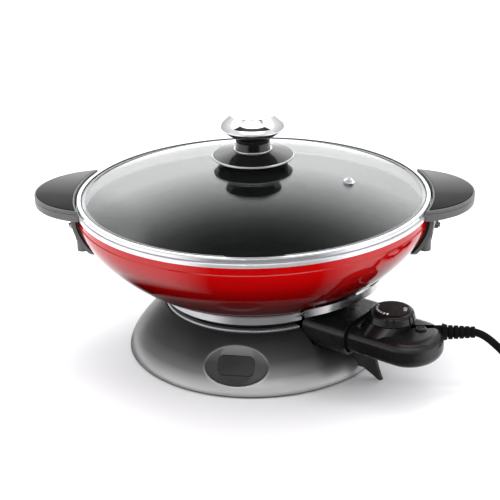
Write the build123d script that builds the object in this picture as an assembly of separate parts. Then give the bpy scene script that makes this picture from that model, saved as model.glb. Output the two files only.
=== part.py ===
from build123d import *
import math
import os

# Electric wok: red cast bowl on a flared pedestal, lift-off glass lid, two side handles and a
# plug-in thermostat with a turning dial.  Millimetres, +Z up, +X along the handles, and the
# origin on the table at the centre of the pedestal.

os.makedirs("parts", exist_ok=True)

# ------------------------------------------------------------------ general clearances
SEAT_GAP = 0.3            # loose seat between pieces that lift or turn apart
FIT_GAP = 0.2             # snug fit between fixed pieces that nest
NOTCH_GAP = 0.4           # room round the shroud where it passes through the pedestal

# ------------------------------------------------------------------ where bowl and pedestal meet
BOWL_FOOT_R = 96.0        # where the bowl's curved side starts: the rings under it follow it
FOOT_RING_SET_IN = 0.9
FOOT_RING_R = BOWL_FOOT_R - FOOT_RING_SET_IN
TOP_RING_SET_IN = 2.1
TOP_RING_R = FOOT_RING_R - TOP_RING_SET_IN
TOP_RING_WIDTH = 9.0
SPACER_SET_IN = 4.5
SPACER_R = TOP_RING_R - SPACER_SET_IN
REFLECTOR_SET_IN = 2.0
REFLECTOR_R = TOP_RING_R - TOP_RING_WIDTH - REFLECTOR_SET_IN
SHOULDER_WIDTH = 2.0      # flat of the pedestal outside its top ring
SKIRT_TOP_R = TOP_RING_R + SHOULDER_WIDTH

# ------------------------------------------------------------------ pedestal
FOOT_STAND = 1.5          # height of the skirt's lower edge above the table
SKIRT_R = 132.0           # lower edge of the flared skirt
SKIRT_TOP_Z = 51.3
SKIRT_WALL = 3.0
SKIRT_LOW_LEAN = 96.7     # direction of the flank at its lower edge, degrees from outwards
SKIRT_LOW_PULL = 13.7
SKIRT_HIGH_LEAN = 131.5   # direction of the flank at its upper edge
SKIRT_HIGH_PULL = 21.0
HUB_R = 12.0
HUB_LOW_Z = 14.0
POST_R = 4.5
POST_CIRCLE_R = 104.0
TOP_RING_TALL = 2.5
COVER_GAP = 0.6           # radial play of the bottom cover inside the skirt
COVER_LOW_Z = 3.0
COVER_THICK = 2.2
VENT_COUNT = 24
VENT_CIRCLE_R = 66.0
VENT_LONG = 20.0
VENT_WIDE = 4.0
RUBBER_FOOT_R = 9.0
RUBBER_FOOT_CIRCLE_R = 108.0
RUBBER_FOOT_COUNT = 4
BASE_SCREW_HEAD_R = 3.6
BASE_SCREW_HEAD_TALL = 1.4
BASE_SCREW_R = 1.7
BASE_SCREW_LONG = 14.0
BADGE_AZ = -97.2          # middle of the badge, degrees round from +X
BADGE_Z = 27.5
BADGE_WIDE = 63.0
BADGE_TALL = 41.0
BADGE_DEEP = 1.1
PLATE_WIDE = 36.0
PLATE_TALL = 20.0
PLATE_CORNER_R = 6.0
PLATE_THICK = 2.0

# ------------------------------------------------------------------ bowl
BOWL_BOTTOM_Z = 67.9
BOWL_RIDGE_R = 177.0      # widest point of the curved side: collar, rim, lid and handles follow it
BOWL_RIDGE_Z = 148.0
BOWL_WALL = 3.0
BOWL_LOW_LEAN = 25.6      # direction of the side at the foot, degrees above outwards
BOWL_LOW_PULL = 35.3
BOWL_HIGH_LEAN = 84.0     # direction of the side at the ridge
BOWL_HIGH_PULL = 31.0
COLLAR_SET_IN = 0.8       # how far the collar stands inside the widest point
COLLAR_R = BOWL_RIDGE_R - COLLAR_SET_IN
COLLAR_STEP = 0.7
LEDGE_IN = 8.5            # width of the bowl's thick edge at the ledge inside the collar
LEDGE_RISE = 0.5          # height of the ledge above the widest point
LEDGE_LEAN = 78.0         # direction of the cooking surface where it reaches the ledge
LEDGE_PULL = 38.0
RIM_LOW_Z = 156.0
RIM_TALL = 4.0
RIM_OUT = 1.5             # how far the rolled rim stands out from the collar
RIM_IN = 0.6              # and how far it stands in
FOOT_RING_WIDTH = 3.1
FOOT_RING_TALL = 7.4
SPACER_WIDTH = 5.0
SPACER_FLANGE_TALL = 1.5

# ------------------------------------------------------------------ heater under the bowl
ELEMENT_CIRCLE_R = 66.0
ELEMENT_TUBE_R = 3.6
ELEMENT_Z = 62.0
ELEMENT_RIB_WIDTH = 12.0
PIN_R = 2.5
PIN_OUT = 14.0            # each contact pin's distance from the probe's centre plane
PIN_Z = 54.0
PIN_FROM_R = 78.0
PIN_TO_R = 116.0
TERMINAL_R = 80.0         # inner face of the terminal bracket
TERMINAL_THICK = 2.0
TERMINAL_HALF = 22.0
SENSOR_BOSS_FROM_R = 52.0
SENSOR_BOSS_TO_R = 77.0
SENSOR_BOSS_HALF = 6.5
NOTCH_FROM_R = SENSOR_BOSS_FROM_R - 4.0
SENSOR_R = 3.0
REFLECTOR_THICK = 0.8
STUD_R = 3.0
NUT_R = 5.5
NUT_TALL = 5.0
WASHER_R = 9.0
WASHER_THICK = 1.2

# ------------------------------------------------------------------ heat shield
SHIELD_AZ = -38.5
SHIELD_HALF_SPAN = 29.0
SHIELD_OUTER_R = 137.2
SHIELD_WIDTH = 25.2
SHIELD_INNER_R = SHIELD_OUTER_R - SHIELD_WIDTH
SHIELD_SHEET = 1.2
SHIELD_DROP = 1.8         # air gap between the bowl and the sheet
SHIELD_LIP_TALL = 7.5
SHIELD_SPOT_R = 4.0

# ------------------------------------------------------------------ probe shroud and toe
PROBE_AZ = -36.0          # direction of the thermostat, degrees round from +X
SHROUD_FROM_R = 84.0
SHROUD_TO_R = 137.0
SHROUD_WALL = 2.5
SHROUD_PLAY = 1.5         # room round the thermostat inside the shroud
SHROUD_CORNER_R = 13.0
TOE_HALF = 1.8
TOE_TIP_R = 157.4
TOE_KNEE_IN = 6.9         # from the tip back to the corner of the outer edge
TOE_KNEE_Z = 18.5
TOE_LOW_Z = 8.0           # lower edge of the root
TOE_ROOT_IN = 13.0        # how far the root reaches under the skirt

# ------------------------------------------------------------------ thermostat
BODY_HALF = 33.5
BODY_LOW_Z = 36.5
BODY_TOP_Z = 63.0
BODY_SPLIT_Z = 47.0
BODY_NOSE_R = 106.0
BODY_ROUND_R = 190.0      # where the rounded end starts
BODY_ROUND_LONG = 29.7
BODY_FILLET = 10.0
BODY_WALL = 2.5
CONTACT_BLOCK_LONG = 18.0
SOCKET_GAP = 0.35
SENSOR_TIP_R = 57.0
DIAL_R_POS = 167.0        # distance of the dial's axis from the bowl's axis
PLATFORM_LONG = 44.5
PLATFORM_BACK = 5.25      # middle of the platform behind the dial's axis
PLATFORM_HALF = 31.5
PLATFORM_CORNER_R = 21.0
PLATFORM_TOP_Z = 69.3
DIAL_GRIP_R = 23.2
DIAL_TOP_R = 17.0
DIAL_TALL = 10.6
DIAL_RUN_GAP = 0.4
DIAL_NOTCH_R = 1.1
DIAL_NOTCH_PAIRS = 6
DIAL_NOTCH_TURN = 8.0
SPINDLE_R = 3.0
SWITCH_LONG = 36.0
SWITCH_WIDE = 26.0
SWITCH_TOP_Z = 56.0
LAMP_R_POS = 195.0
LAMP_OFF = 8.0
LAMP_BEZEL_R = 5.4
LAMP_LENS_R = 3.3

# ------------------------------------------------------------------ cord and plug
RELIEF_Y = -102.0
RELIEF_Z = 57.0
RELIEF_FROM_X = 181.5
RELIEF_COLLAR_LONG = 6.5
RELIEF_COLLAR_R = 8.8
RELIEF_TO_X = 214.8
RELIEF_RIB_R = 6.9
RELIEF_END_R = 5.6
RELIEF_RIB_COUNT = 5
CORD_R = 3.8
COIL_MID_R = 42.0
COIL_TURNS_WIDE = 2
COIL_TURNS_HIGH = 2
COIL_TAIL_LONG = 34.0     # straight cord before and after the turns
PLUG_GRIP_LONG = 30.0
PLUG_NECK_LONG = 12.0
PLUG_FACE_WIDE = 37.0
PLUG_THICK = 20.0
PLUG_CORNER_R = 6.0
PLUG_WAIST_R = 8.0
PLUG_RIM_LONG = 4.0
PLUG_BLADE_LONG = 18.0
CORD_ROUTE = [
    (RELIEF_TO_X, RELIEF_Y, RELIEF_Z),
    (228.8, -102.0, 56.3),
    (242.5, -102.0, 50.0),
    (254.0, -101.6, 38.8),
    (260.5, -100.8, 26.3),
    (269.3, -98.9, 15.4),
    (280.5, -95.5, 7.6),
    (293.0, -90.5, 3.9),
    (304.5, -84.3, 3.9),
]

# ------------------------------------------------------------------ handles
HANDLE_GAP = 2.2          # room between the collar and the grip's hollowed side
HANDLE_ROOT_R = COLLAR_R + HANDLE_GAP
HANDLE_REACH = 42.3       # how far the tip stands out beyond the hollowed side
HANDLE_TIP_X = HANDLE_ROOT_R + HANDLE_REACH
HANDLE_LONG = 66.0        # semi-axis of the outline along X
HANDLE_HALF = 63.4        # semi-axis of the outline along Y
HANDLE_TOP_Z = 165.6
HANDLE_THICK = 11.4
HANDLE_EDGE_FILLET = 1.0
HANDLE_UNDER_FILLET = 2.2
HANDLE_GROOVE_DOWN = 3.6   # from the top to the groove round the grip's wall
HANDLE_GROOVE_TALL = 0.8
HANDLE_GROOVE_DEEP = 0.5
CAP_MARGIN = 1.8
CAP_DEEP = 2.4
CAP_PROUD = 0.6
PAD_THICK = 2.9
SADDLE_THICK = 3.8
SADDLE_HALF = 51.0
SADDLE_LOW_Z = 110.0
SADDLE_CORNER_R = 18.0
BOSS_SET_IN = 6.5         # axis of the bosses inside the bowl's widest point
BOSS_X = BOWL_RIDGE_R - BOSS_SET_IN
BOSS_OUT_Y = 31.0
BOSS_R = 5.8
BOSS_LOW_Z = 113.4
WEB_LOW_Z = BOSS_LOW_Z + 10.6
WEB_THICK = 4.0
BOSS_BORE_R = 3.8
GRIP_SCREW_X = HANDLE_ROOT_R + 7.4   # screws that hold the grip on its saddle
GRIP_SCREW_R = 2.0
GRIP_SCREW_HEAD_R = 3.6
GRIP_SCREW_HEAD_TALL = 2.2
GRIP_SCREW_BITE = 5.5
GRIP_LUG_R = 5.0
GRIP_LUG_TALL = 6.0
HANDLE_STUD_AZ = 5.0
HANDLE_STUD_Z = 134.0
HANDLE_STUD_R = 2.5
HANDLE_STUD_PROUD = 4.0   # how far the studs stand out of the saddle
HANDLE_NUT_BACK = 1.9     # from a stud's end to its nut
HANDLE_NUT_R = 4.4
HANDLE_NUT_TALL = 15.0    # before the nut is cut to the saddle's face

# ------------------------------------------------------------------ lid
LID_Z = RIM_LOW_Z + RIM_TALL + SEAT_GAP
BAND_OVER = 0.4           # how far the lid's band stands out over the collar
BAND_R = COLLAR_R + BAND_OVER
BAND_WIDTH = 4.0
BAND_IN_R = BAND_R - BAND_WIDTH
BAND_TALL = 4.5
BAND_LIP = 0.6
GLASS_THICK = 3.1
GLASS_BITE = 2.0          # how deep the glass sits in its band
GLASS_EDGE_R = BAND_IN_R + GLASS_BITE
GLASS_FLAT = 6.6          # flat edge round the dome
DOME_R = GLASS_EDGE_R - GLASS_FLAT
DOME_RISE = 30.8
GLASS_HOLE_R = 4.0
SEAL_WIDTH = 1.0
VENT_X = 94.5
VENT_Y = -32.0
VENT_R = 3.6
GROMMET_FLANGE_R = 5.6
GROMMET_BORE_R = 2.0
GUARD_R = 40.3
GUARD_LOW_R = 36.0
GUARD_FOOT_R = 14.0
GUARD_EDGE_Z = 202.2
GUARD_TOP_Z = 208.6
GUARD_LOW_Z = 196.4
TRIM_TALL = 1.8
NECK_R = 17.5
NECK_FLARE_R = 31.0
NECK_WAIST = 0.6          # how far the neck draws in below the flare
NECK_FLARE_TALL = 13.2
NECK_CONE_IN = 5.6        # straight end of the flare, inwards from the cap
NECK_CONE_TALL = 4.6
NECK_CURVE_PULL = 4.2     # reach of the curve that joins the neck to the cone
NECK_TOP_Z = 230.2
NECK_RING_R = 19.2
NECK_RING_TALL = 1.4
CAP_R = 32.7
CAP_CROWN_R = 24.0
CAP_CROWN_RISE = 3.8
KNOB_TOP_Z = 245.4
KNOB_SCREW_R = 2.4
KNOB_SCREW_BITE = 10.0    # how far the screw runs into the neck
KNOB_SCREW_HEAD_R = 6.0
KNOB_SCREW_HEAD_TALL = 2.6
KNOB_WASHER_R = 10.0
KNOB_WASHER_THICK = 1.2


# ================================================================== helpers
def at(r, z):
    """A point of a profile: distance from the axis and height."""
    return Vector(r, 0, z)


def spin(*edges):
    """Revolve a closed profile about the vertical axis."""
    return revolve(make_face(edges), Axis.Z)


def spin_outline(*points):
    """Revolve a straight-sided profile given by its corners."""
    corners = [at(r, z) for r, z in points]
    return revolve(make_face(Polyline(*corners, close=True)), Axis.Z)


def disc(radius, low, high, hole=0.0):
    """Upright cylinder or washer between two heights."""
    blank = Pos(0, 0, (low + high) / 2) * Cylinder(radius, high - low)
    if hole > 0:
        blank -= Pos(0, 0, (low + high) / 2) * Cylinder(hole, high - low + 1)
    return blank


def rod(start, end, radius):
    """Cylinder between two points."""
    line = Line(start, end)
    return extrude(Plane(start, z_dir=line % 0) * Circle(radius), line.length)


def block(x_low, x_high, y_low, y_high, z_low, z_high):
    """Box between two corners."""
    box = Box(x_high - x_low, y_high - y_low, z_high - z_low)
    return Pos((x_low + x_high) / 2, (y_low + y_high) / 2, (z_low + z_high) / 2) * box


def round_about(count, radius, turn=0.0):
    """Places on a circle about the vertical axis."""
    return PolarLocations(radius, count, start_angle=turn)


def to_probe(piece):
    """Turn a piece built along +X to the direction of the thermostat."""
    return Rot(0, 0, PROBE_AZ) * piece


def lean(angle):
    """Unit vector in the profile plane, degrees above outwards."""
    return Vector(math.cos(math.radians(angle)), 0, math.sin(math.radians(angle)))


def profile_curve(start, start_angle, start_pull, end, end_angle, end_pull, inwards=0.0):
    """Smooth side profile between two points, moved inwards by a wall thickness."""
    near = start + lean(start_angle + 90) * inwards
    far = end + lean(end_angle + 90) * inwards
    scale = (far - near).length / (end - start).length
    first = near + lean(start_angle) * (start_pull * scale)
    second = far - lean(end_angle) * (end_pull * scale)
    return Bezier(near, first, second, far)


def hexagon(centre, axis, radius, tall):
    """Nut blank standing on a point along an axis."""
    return extrude(Plane(centre, z_dir=axis) * RegularPolygon(radius, 6), tall)


def save(piece, name):
    """Write one sub-part."""
    export_step(piece, f"parts/{name}.step")


# ================================================================== pedestal
def skirt_curve(inwards=0.0):
    low = at(SKIRT_R, FOOT_STAND)
    high = at(SKIRT_TOP_R, SKIRT_TOP_Z)
    lower = (low, SKIRT_LOW_LEAN, SKIRT_LOW_PULL)
    upper = (high, SKIRT_HIGH_LEAN, SKIRT_HIGH_PULL)
    return profile_curve(*lower, *upper, inwards)


def skirt_blank():
    """Solid of the pedestal's outside."""
    return spin(
        Line(at(0, FOOT_STAND), at(SKIRT_R, FOOT_STAND)),
        skirt_curve(),
        Line(at(SKIRT_TOP_R, SKIRT_TOP_Z), at(0, SKIRT_TOP_Z)),
        Line(at(0, SKIRT_TOP_Z), at(0, FOOT_STAND)),
    )


def skirt_inside():
    """The hollow under the skirt."""
    curve = skirt_curve(SKIRT_WALL)
    low = curve @ 0
    high = curve @ 1
    roof = SKIRT_TOP_Z - SKIRT_WALL
    return spin(
        Line(at(0, FOOT_STAND - 5), at(low.X, FOOT_STAND - 5)),
        Line(at(low.X, FOOT_STAND - 5), low),
        curve,
        Line(high, at(0, high.Z)),
        Line(at(0, high.Z), at(0, FOOT_STAND - 5)),
    ) & disc(SKIRT_R, FOOT_STAND - 5, roof)


def shroud_outer(extra=0.0, from_r=SHROUD_FROM_R):
    """Outside of the oval shroud tube, grown by a clearance."""
    half = BODY_HALF + SHROUD_PLAY + SHROUD_WALL + extra
    low = BODY_LOW_Z - SHROUD_PLAY - SHROUD_WALL - extra
    high = BODY_TOP_Z + SHROUD_PLAY + SHROUD_WALL + extra
    section = RectangleRounded(2 * half, high - low, SHROUD_CORNER_R + extra)
    section = Plane.YZ * Pos(0, (low + high) / 2) * section
    return to_probe(Pos(from_r, 0, 0) * extrude(section, SHROUD_TO_R - from_r))


def probe_notch(from_r):
    """Slot through the pedestal where the shroud and the contacts pass."""
    half = BODY_HALF + SHROUD_PLAY + SHROUD_WALL + NOTCH_GAP
    return to_probe(block(from_r, SHROUD_TO_R, -half, half, BODY_LOW_Z, BOWL_BOTTOM_Z + 10))


def post_places():
    """Screw posts, half-way between the rubber feet."""
    return round_about(RUBBER_FOOT_COUNT, POST_CIRCLE_R, 180 / RUBBER_FOOT_COUNT)


def badge_frame():
    """Plane tangent to the flank at the badge, looking outwards."""
    curve = skirt_curve()
    share = 0.5
    for _ in range(24):
        share += (BADGE_Z - (curve @ share).Z) / curve.length
    point = curve @ share
    along = curve % share
    outward = Vector(along.Z, 0, -along.X)
    plane = Plane(point, x_dir=Vector(0, 1, 0), z_dir=outward)
    return Rot(0, 0, BADGE_AZ) * Location(plane)


def badge_recess():
    return badge_frame() * extrude(Pos(0, 0, -BADGE_DEEP) * Ellipse(BADGE_WIDE / 2, BADGE_TALL / 2), 12)


def make_skirt():
    inside = skirt_inside()
    shell = skirt_blank() - inside
    shell += disc(HUB_R, HUB_LOW_Z, SKIRT_TOP_Z)
    low = COVER_LOW_Z + COVER_THICK
    for place in post_places():
        shell += place * disc(POST_R, low, SKIRT_TOP_Z) & inside
    shell -= disc(STUD_R + SOCKET_GAP, 0, SKIRT_TOP_Z + 1)
    for place in post_places():
        shell -= place * disc(BASE_SCREW_R + FIT_GAP, low - 1, low + BASE_SCREW_LONG + 1)
    shell -= shroud_outer(FIT_GAP, TERMINAL_R - 6)
    shell -= probe_notch(NOTCH_FROM_R)
    pocket = Ellipse(BADGE_WIDE / 2 + SKIRT_WALL, BADGE_TALL / 2 + SKIRT_WALL)
    pocket = badge_frame() * extrude(Pos(0, 0, -2 * SKIRT_WALL) * pocket, 2 * SKIRT_WALL + 1)
    shell += (pocket & inside) - disc(SKIRT_R, 0, low + SEAT_GAP)
    shell -= badge_recess()
    return shell


def make_badge_plate():
    """Bare glossy plate seated in the oval recess."""
    outline = RectangleRounded(PLATE_WIDE, PLATE_TALL, PLATE_CORNER_R)
    plate = extrude(outline, PLATE_THICK)
    plate = fillet(plate.edges().group_by(Axis.Z)[-1], 0.8)
    return badge_frame() * Pos(0, 0, -BADGE_DEEP) * plate


def make_top_ring():
    """Raised bead round the top of the pedestal."""
    low = SKIRT_TOP_Z
    high = low + TOP_RING_TALL
    round_r = TOP_RING_TALL * 0.6
    bend = round_r * (1 - math.sqrt(0.5))
    ring = spin(
        Line(at(TOP_RING_R - TOP_RING_WIDTH, low), at(TOP_RING_R, low)),
        Line(at(TOP_RING_R, low), at(TOP_RING_R, high - round_r)),
        ThreePointArc(
            at(TOP_RING_R, high - round_r),
            at(TOP_RING_R - bend, high - bend),
            at(TOP_RING_R - round_r, high),
        ),
        Line(at(TOP_RING_R - round_r, high), at(TOP_RING_R - TOP_RING_WIDTH, high)),
        Line(at(TOP_RING_R - TOP_RING_WIDTH, high), at(TOP_RING_R - TOP_RING_WIDTH, low)),
    )
    return ring - probe_notch(NOTCH_FROM_R)


def cover_radius():
    return (skirt_curve(SKIRT_WALL) @ 0).X - COVER_GAP


def make_bottom_cover():
    low = COVER_LOW_Z
    high = low + COVER_THICK
    cover = disc(cover_radius() - 1.2, low, high)
    for place in post_places():
        cover -= place * Pos(0, 0, low) * Cylinder(BASE_SCREW_R + FIT_GAP, 3 * COVER_THICK)
    for place in round_about(VENT_COUNT, VENT_CIRCLE_R):
        cover -= place * Pos(0, 0, low) * Box(VENT_LONG, VENT_WIDE, 3 * COVER_THICK)
    return cover


def make_rubber_feet():
    foot = disc(RUBBER_FOOT_R, 0, COVER_LOW_Z)
    foot = fillet(foot.edges().group_by(Axis.Z)[0], 0.8)
    return [place * foot for place in round_about(RUBBER_FOOT_COUNT, RUBBER_FOOT_CIRCLE_R)]


def make_base_screws():
    head = disc(BASE_SCREW_HEAD_R, COVER_LOW_Z - BASE_SCREW_HEAD_TALL, COVER_LOW_Z)
    head = fillet(head.edges().group_by(Axis.Z)[0], 0.6)
    screw = head + disc(BASE_SCREW_R, COVER_LOW_Z, COVER_LOW_Z + BASE_SCREW_LONG)
    return [place * screw for place in post_places()]


def make_spacer_ring():
    """Heat-insulating ring between the pedestal and the bowl's foot ring."""
    low = SKIRT_TOP_Z + TOP_RING_TALL
    high = BOWL_BOTTOM_Z - FOOT_RING_TALL
    inner = SPACER_R - SPACER_WIDTH
    flange_r = FOOT_RING_R - 1.2
    ring = spin_outline(
        (inner, low),
        (SPACER_R, low),
        (SPACER_R, high - SPACER_FLANGE_TALL),
        (flange_r, high - SPACER_FLANGE_TALL),
        (flange_r, high),
        (inner, high),
    )
    return ring - probe_notch(NOTCH_FROM_R)


def make_toe():
    """Thin outrigger under the shroud that stops the cooker tipping towards the thermostat."""
    floor_r = SKIRT_R - SKIRT_WALL
    root_r = floor_r - TOE_ROOT_IN
    knee_r = TOE_TIP_R - TOE_KNEE_IN
    top = BODY_LOW_Z - SHROUD_PLAY - SHROUD_WALL - FIT_GAP
    side = make_face([
        Line(at(root_r, top), at(SHROUD_TO_R - 5, top)),
        ThreePointArc(at(SHROUD_TO_R - 5, top), at(knee_r - 4.5, TOE_KNEE_Z + 6.5), at(knee_r, TOE_KNEE_Z)),
        ThreePointArc(at(knee_r, TOE_KNEE_Z), at(knee_r + 3.1, TOE_KNEE_Z / 2), at(TOE_TIP_R, 0.3)),
        Line(at(TOE_TIP_R, 0.3), at(TOE_TIP_R - 1.5, 0)),
        Line(at(TOE_TIP_R - 1.5, 0), at(TOE_TIP_R - 3.5, 0)),
        Line(at(TOE_TIP_R - 3.5, 0), at(floor_r + TOE_LOW_Z, TOE_LOW_Z)),
        Line(at(floor_r + TOE_LOW_Z, TOE_LOW_Z), at(root_r, TOE_LOW_Z)),
        Line(at(root_r, TOE_LOW_Z), at(root_r, top)),
    ])
    return to_probe(extrude(side, TOE_HALF, both=True)) - skirt_blank()


# ================================================================== bowl
def bowl_curve(inwards=0.0):
    low = at(BOWL_FOOT_R, BOWL_BOTTOM_Z)
    high = at(BOWL_RIDGE_R, BOWL_RIDGE_Z)
    return profile_curve(low, BOWL_LOW_LEAN, BOWL_LOW_PULL, high, BOWL_HIGH_LEAN, BOWL_HIGH_PULL, inwards)


def bowl_envelope(outwards):
    """Solid of the bowl's outside, grown by a clearance."""
    curve = bowl_curve(-outwards)
    low = curve @ 0
    high = curve @ 1
    top = LID_Z + 60
    return spin(
        Line(at(0, low.Z), low),
        curve,
        Line(high, at(high.X, top)),
        Line(at(high.X, top), at(0, top)),
        Line(at(0, top), at(0, low.Z)),
    )


def bowl_shell_between(near, far, low, high):
    """Curved plate that follows the outside of the bowl between two offsets."""
    plate = bowl_envelope(far) - bowl_envelope(near)
    return plate & disc(BOWL_RIDGE_R + 40, low, high)


def make_bowl():
    """Bowl with a thick edge: the cooking surface ends at a ledge inside the collar."""
    ridge = at(BOWL_RIDGE_R, BOWL_RIDGE_Z)
    step = at(COLLAR_R, BOWL_RIDGE_Z + COLLAR_STEP)
    inner_r = COLLAR_R - BOWL_WALL
    ledge = at(BOWL_RIDGE_R - LEDGE_IN, BOWL_RIDGE_Z + LEDGE_RISE)
    floor_edge = bowl_curve(BOWL_WALL) @ 0
    cooking = profile_curve(floor_edge, BOWL_LOW_LEAN, BOWL_LOW_PULL, ledge, LEDGE_LEAN, LEDGE_PULL)
    shell = spin(
        Line(at(0, BOWL_BOTTOM_Z), at(BOWL_FOOT_R, BOWL_BOTTOM_Z)),
        bowl_curve(),
        Line(ridge, step),
        Line(step, at(COLLAR_R, RIM_LOW_Z)),
        Line(at(COLLAR_R, RIM_LOW_Z), at(inner_r, RIM_LOW_Z)),
        Line(at(inner_r, RIM_LOW_Z), at(inner_r, ledge.Z)),
        Line(at(inner_r, ledge.Z), ledge),
        cooking,
        Line(floor_edge, at(0, floor_edge.Z)),
        Line(at(0, floor_edge.Z), at(0, BOWL_BOTTOM_Z)),
    )
    half = ELEMENT_RIB_WIDTH / 2
    rib = disc(ELEMENT_CIRCLE_R + half, ELEMENT_Z, BOWL_BOTTOM_Z, ELEMENT_CIRCLE_R - half)
    groove = Pos(0, 0, ELEMENT_Z) * Torus(ELEMENT_CIRCLE_R, ELEMENT_TUBE_R + FIT_GAP)
    terminal_gap = to_probe(block(0, BOWL_FOOT_R, -PIN_OUT - 5, PIN_OUT + 5, 0, BOWL_BOTTOM_Z))
    return shell + (rib - groove - terminal_gap)


def make_rim():
    """Bright rolled rim on the collar."""
    high = RIM_LOW_Z + RIM_TALL
    ring = disc(COLLAR_R + RIM_OUT, RIM_LOW_Z, high, COLLAR_R - BOWL_WALL - RIM_IN)
    return fillet(ring.edges().filter_by(GeomType.CIRCLE).group_by(Axis.Z)[-1], 1.0)


def make_foot_ring():
    low = BOWL_BOTTOM_Z - FOOT_RING_TALL
    ring = disc(FOOT_RING_R, low, BOWL_BOTTOM_Z, FOOT_RING_R - FOOT_RING_WIDTH)
    return ring - probe_notch(NOTCH_FROM_R)


# ================================================================== heater
def make_element():
    """Tubular heater nested in the rib, with both ends turned down and out to the pins."""
    half_gap = math.degrees(math.asin(PIN_OUT / ELEMENT_CIRCLE_R))
    path = CenterArc((0, 0, ELEMENT_Z), ELEMENT_CIRCLE_R, half_gap, 360 - 2 * half_gap)
    tube = sweep(Plane(path @ 0, z_dir=path % 0) * Circle(ELEMENT_TUBE_R), path)
    reach = ELEMENT_CIRCLE_R * math.cos(math.radians(half_gap))
    for side in (-PIN_OUT, PIN_OUT):
        tube += Pos(reach, side, ELEMENT_Z) * Sphere(ELEMENT_TUBE_R)
        tube += rod((reach, side, ELEMENT_Z), (reach, side, PIN_Z), ELEMENT_TUBE_R)
        tube += Pos(reach, side, PIN_Z) * Sphere(ELEMENT_TUBE_R)
        tube += rod((reach, side, PIN_Z), (PIN_FROM_R, side, PIN_Z), ELEMENT_TUBE_R)
    return to_probe(tube)


def make_pins():
    pins = []
    for side in (-PIN_OUT, PIN_OUT):
        pin = rod((PIN_FROM_R, side, PIN_Z), (PIN_TO_R, side, PIN_Z), PIN_R)
        pin = fillet(pin.edges().sort_by(Axis.X)[-1], PIN_R * 0.7)
        pins.append(to_probe(pin))
    return pins


def make_terminal_bracket():
    """Steel angle under the bowl that holds the contact pins."""
    far = TERMINAL_R + TERMINAL_THICK
    low = PIN_Z - 7
    wall = block(TERMINAL_R, far, -TERMINAL_HALF, TERMINAL_HALF, low, BOWL_BOTTOM_Z)
    under = BOWL_BOTTOM_Z - TERMINAL_THICK
    flange = block(TERMINAL_R, TERMINAL_R + 9, -TERMINAL_HALF, TERMINAL_HALF, under, BOWL_BOTTOM_Z)
    angle = wall + flange
    for side in (-PIN_OUT, PIN_OUT):
        angle -= rod((TERMINAL_R - 1, side, PIN_Z), (far + 1, side, PIN_Z), PIN_R + FIT_GAP)
    angle -= rod((TERMINAL_R - 1, 0, PIN_Z), (far + 1, 0, PIN_Z), SENSOR_R + 1)
    return to_probe(angle)


def make_sensor_boss():
    """Cast block under the bowl that the sensing stem slides into."""
    half = SENSOR_BOSS_HALF
    boss = block(SENSOR_BOSS_FROM_R, SENSOR_BOSS_TO_R, -half, half, PIN_Z - 5.5, BOWL_BOTTOM_Z)
    boss -= rod((SENSOR_TIP_R - 1, 0, PIN_Z), (SENSOR_BOSS_TO_R + 1, 0, PIN_Z), SENSOR_R + SOCKET_GAP)
    return to_probe(boss)


def make_reflector():
    pan = disc(REFLECTOR_R, SKIRT_TOP_Z, SKIRT_TOP_Z + REFLECTOR_THICK, STUD_R + SOCKET_GAP)
    return pan - probe_notch(NOTCH_FROM_R)


def make_centre_stud():
    low = HUB_LOW_Z - WASHER_THICK - NUT_TALL - 1.0
    return disc(STUD_R, low, BOWL_BOTTOM_Z)


def make_stud_washer():
    return disc(WASHER_R, HUB_LOW_Z - WASHER_THICK, HUB_LOW_Z, STUD_R + FIT_GAP)


def make_stud_nut():
    low = HUB_LOW_Z - WASHER_THICK - NUT_TALL
    nut = hexagon((0, 0, low), (0, 0, 1), NUT_R, NUT_TALL)
    return nut - disc(STUD_R + FIT_GAP / 2, low - 1, HUB_LOW_Z)


# ================================================================== heat shield
def make_heat_shield():
    """Bright sheet that follows the bowl over the thermostat, with a turned-down lip."""
    far = SHIELD_DROP + SHIELD_SHEET
    sheet = bowl_shell_between(SHIELD_DROP, far, BOWL_BOTTOM_Z, BOWL_RIDGE_Z)
    sheet &= disc(SHIELD_OUTER_R, BOWL_BOTTOM_Z, BOWL_RIDGE_Z, SHIELD_INNER_R)
    lip_zone = disc(SHIELD_OUTER_R, BOWL_BOTTOM_Z, BOWL_RIDGE_Z, SHIELD_OUTER_R - SHIELD_SHEET)
    edge_z = shield_edge_height()
    lip = lip_zone & disc(SHIELD_OUTER_R, edge_z - SHIELD_LIP_TALL, edge_z)
    shield = sheet + (lip - bowl_envelope(SHIELD_DROP))
    spot_r = (SHIELD_INNER_R + SHIELD_OUTER_R) / 2
    spot_layer = bowl_shell_between(FIT_GAP, SHIELD_DROP + SHIELD_SHEET / 2, BOWL_BOTTOM_Z, BOWL_RIDGE_Z)
    for turn in (-SHIELD_HALF_SPAN * 0.7, 0, SHIELD_HALF_SPAN * 0.7):
        spot = Rot(0, 0, turn) * Pos(spot_r, 0, 0) * disc(SHIELD_SPOT_R, BOWL_BOTTOM_Z, BOWL_RIDGE_Z)
        shield += spot & spot_layer
    sector = extrude(wedge_plan(SHIELD_HALF_SPAN, SHIELD_OUTER_R * 1.5), BOWL_RIDGE_Z)
    return Rot(0, 0, SHIELD_AZ) * (shield & sector)


def wedge_plan(half_span, reach):
    """Flat wedge about +X, wide enough for a sector of a ring."""
    side = math.radians(half_span)
    corner = (reach * math.cos(side), reach * math.sin(side))
    return make_face(Polyline((0, 0), (corner[0], -corner[1]), (corner[0], corner[1]), close=True))


def shield_edge_height():
    """Height of the sheet's underside at its outer edge."""
    curve = bowl_curve(-SHIELD_DROP)
    share = 0.5
    for _ in range(30):
        share += (SHIELD_OUTER_R - (curve @ share).X) / curve.length
    return (curve @ share).Z


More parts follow.
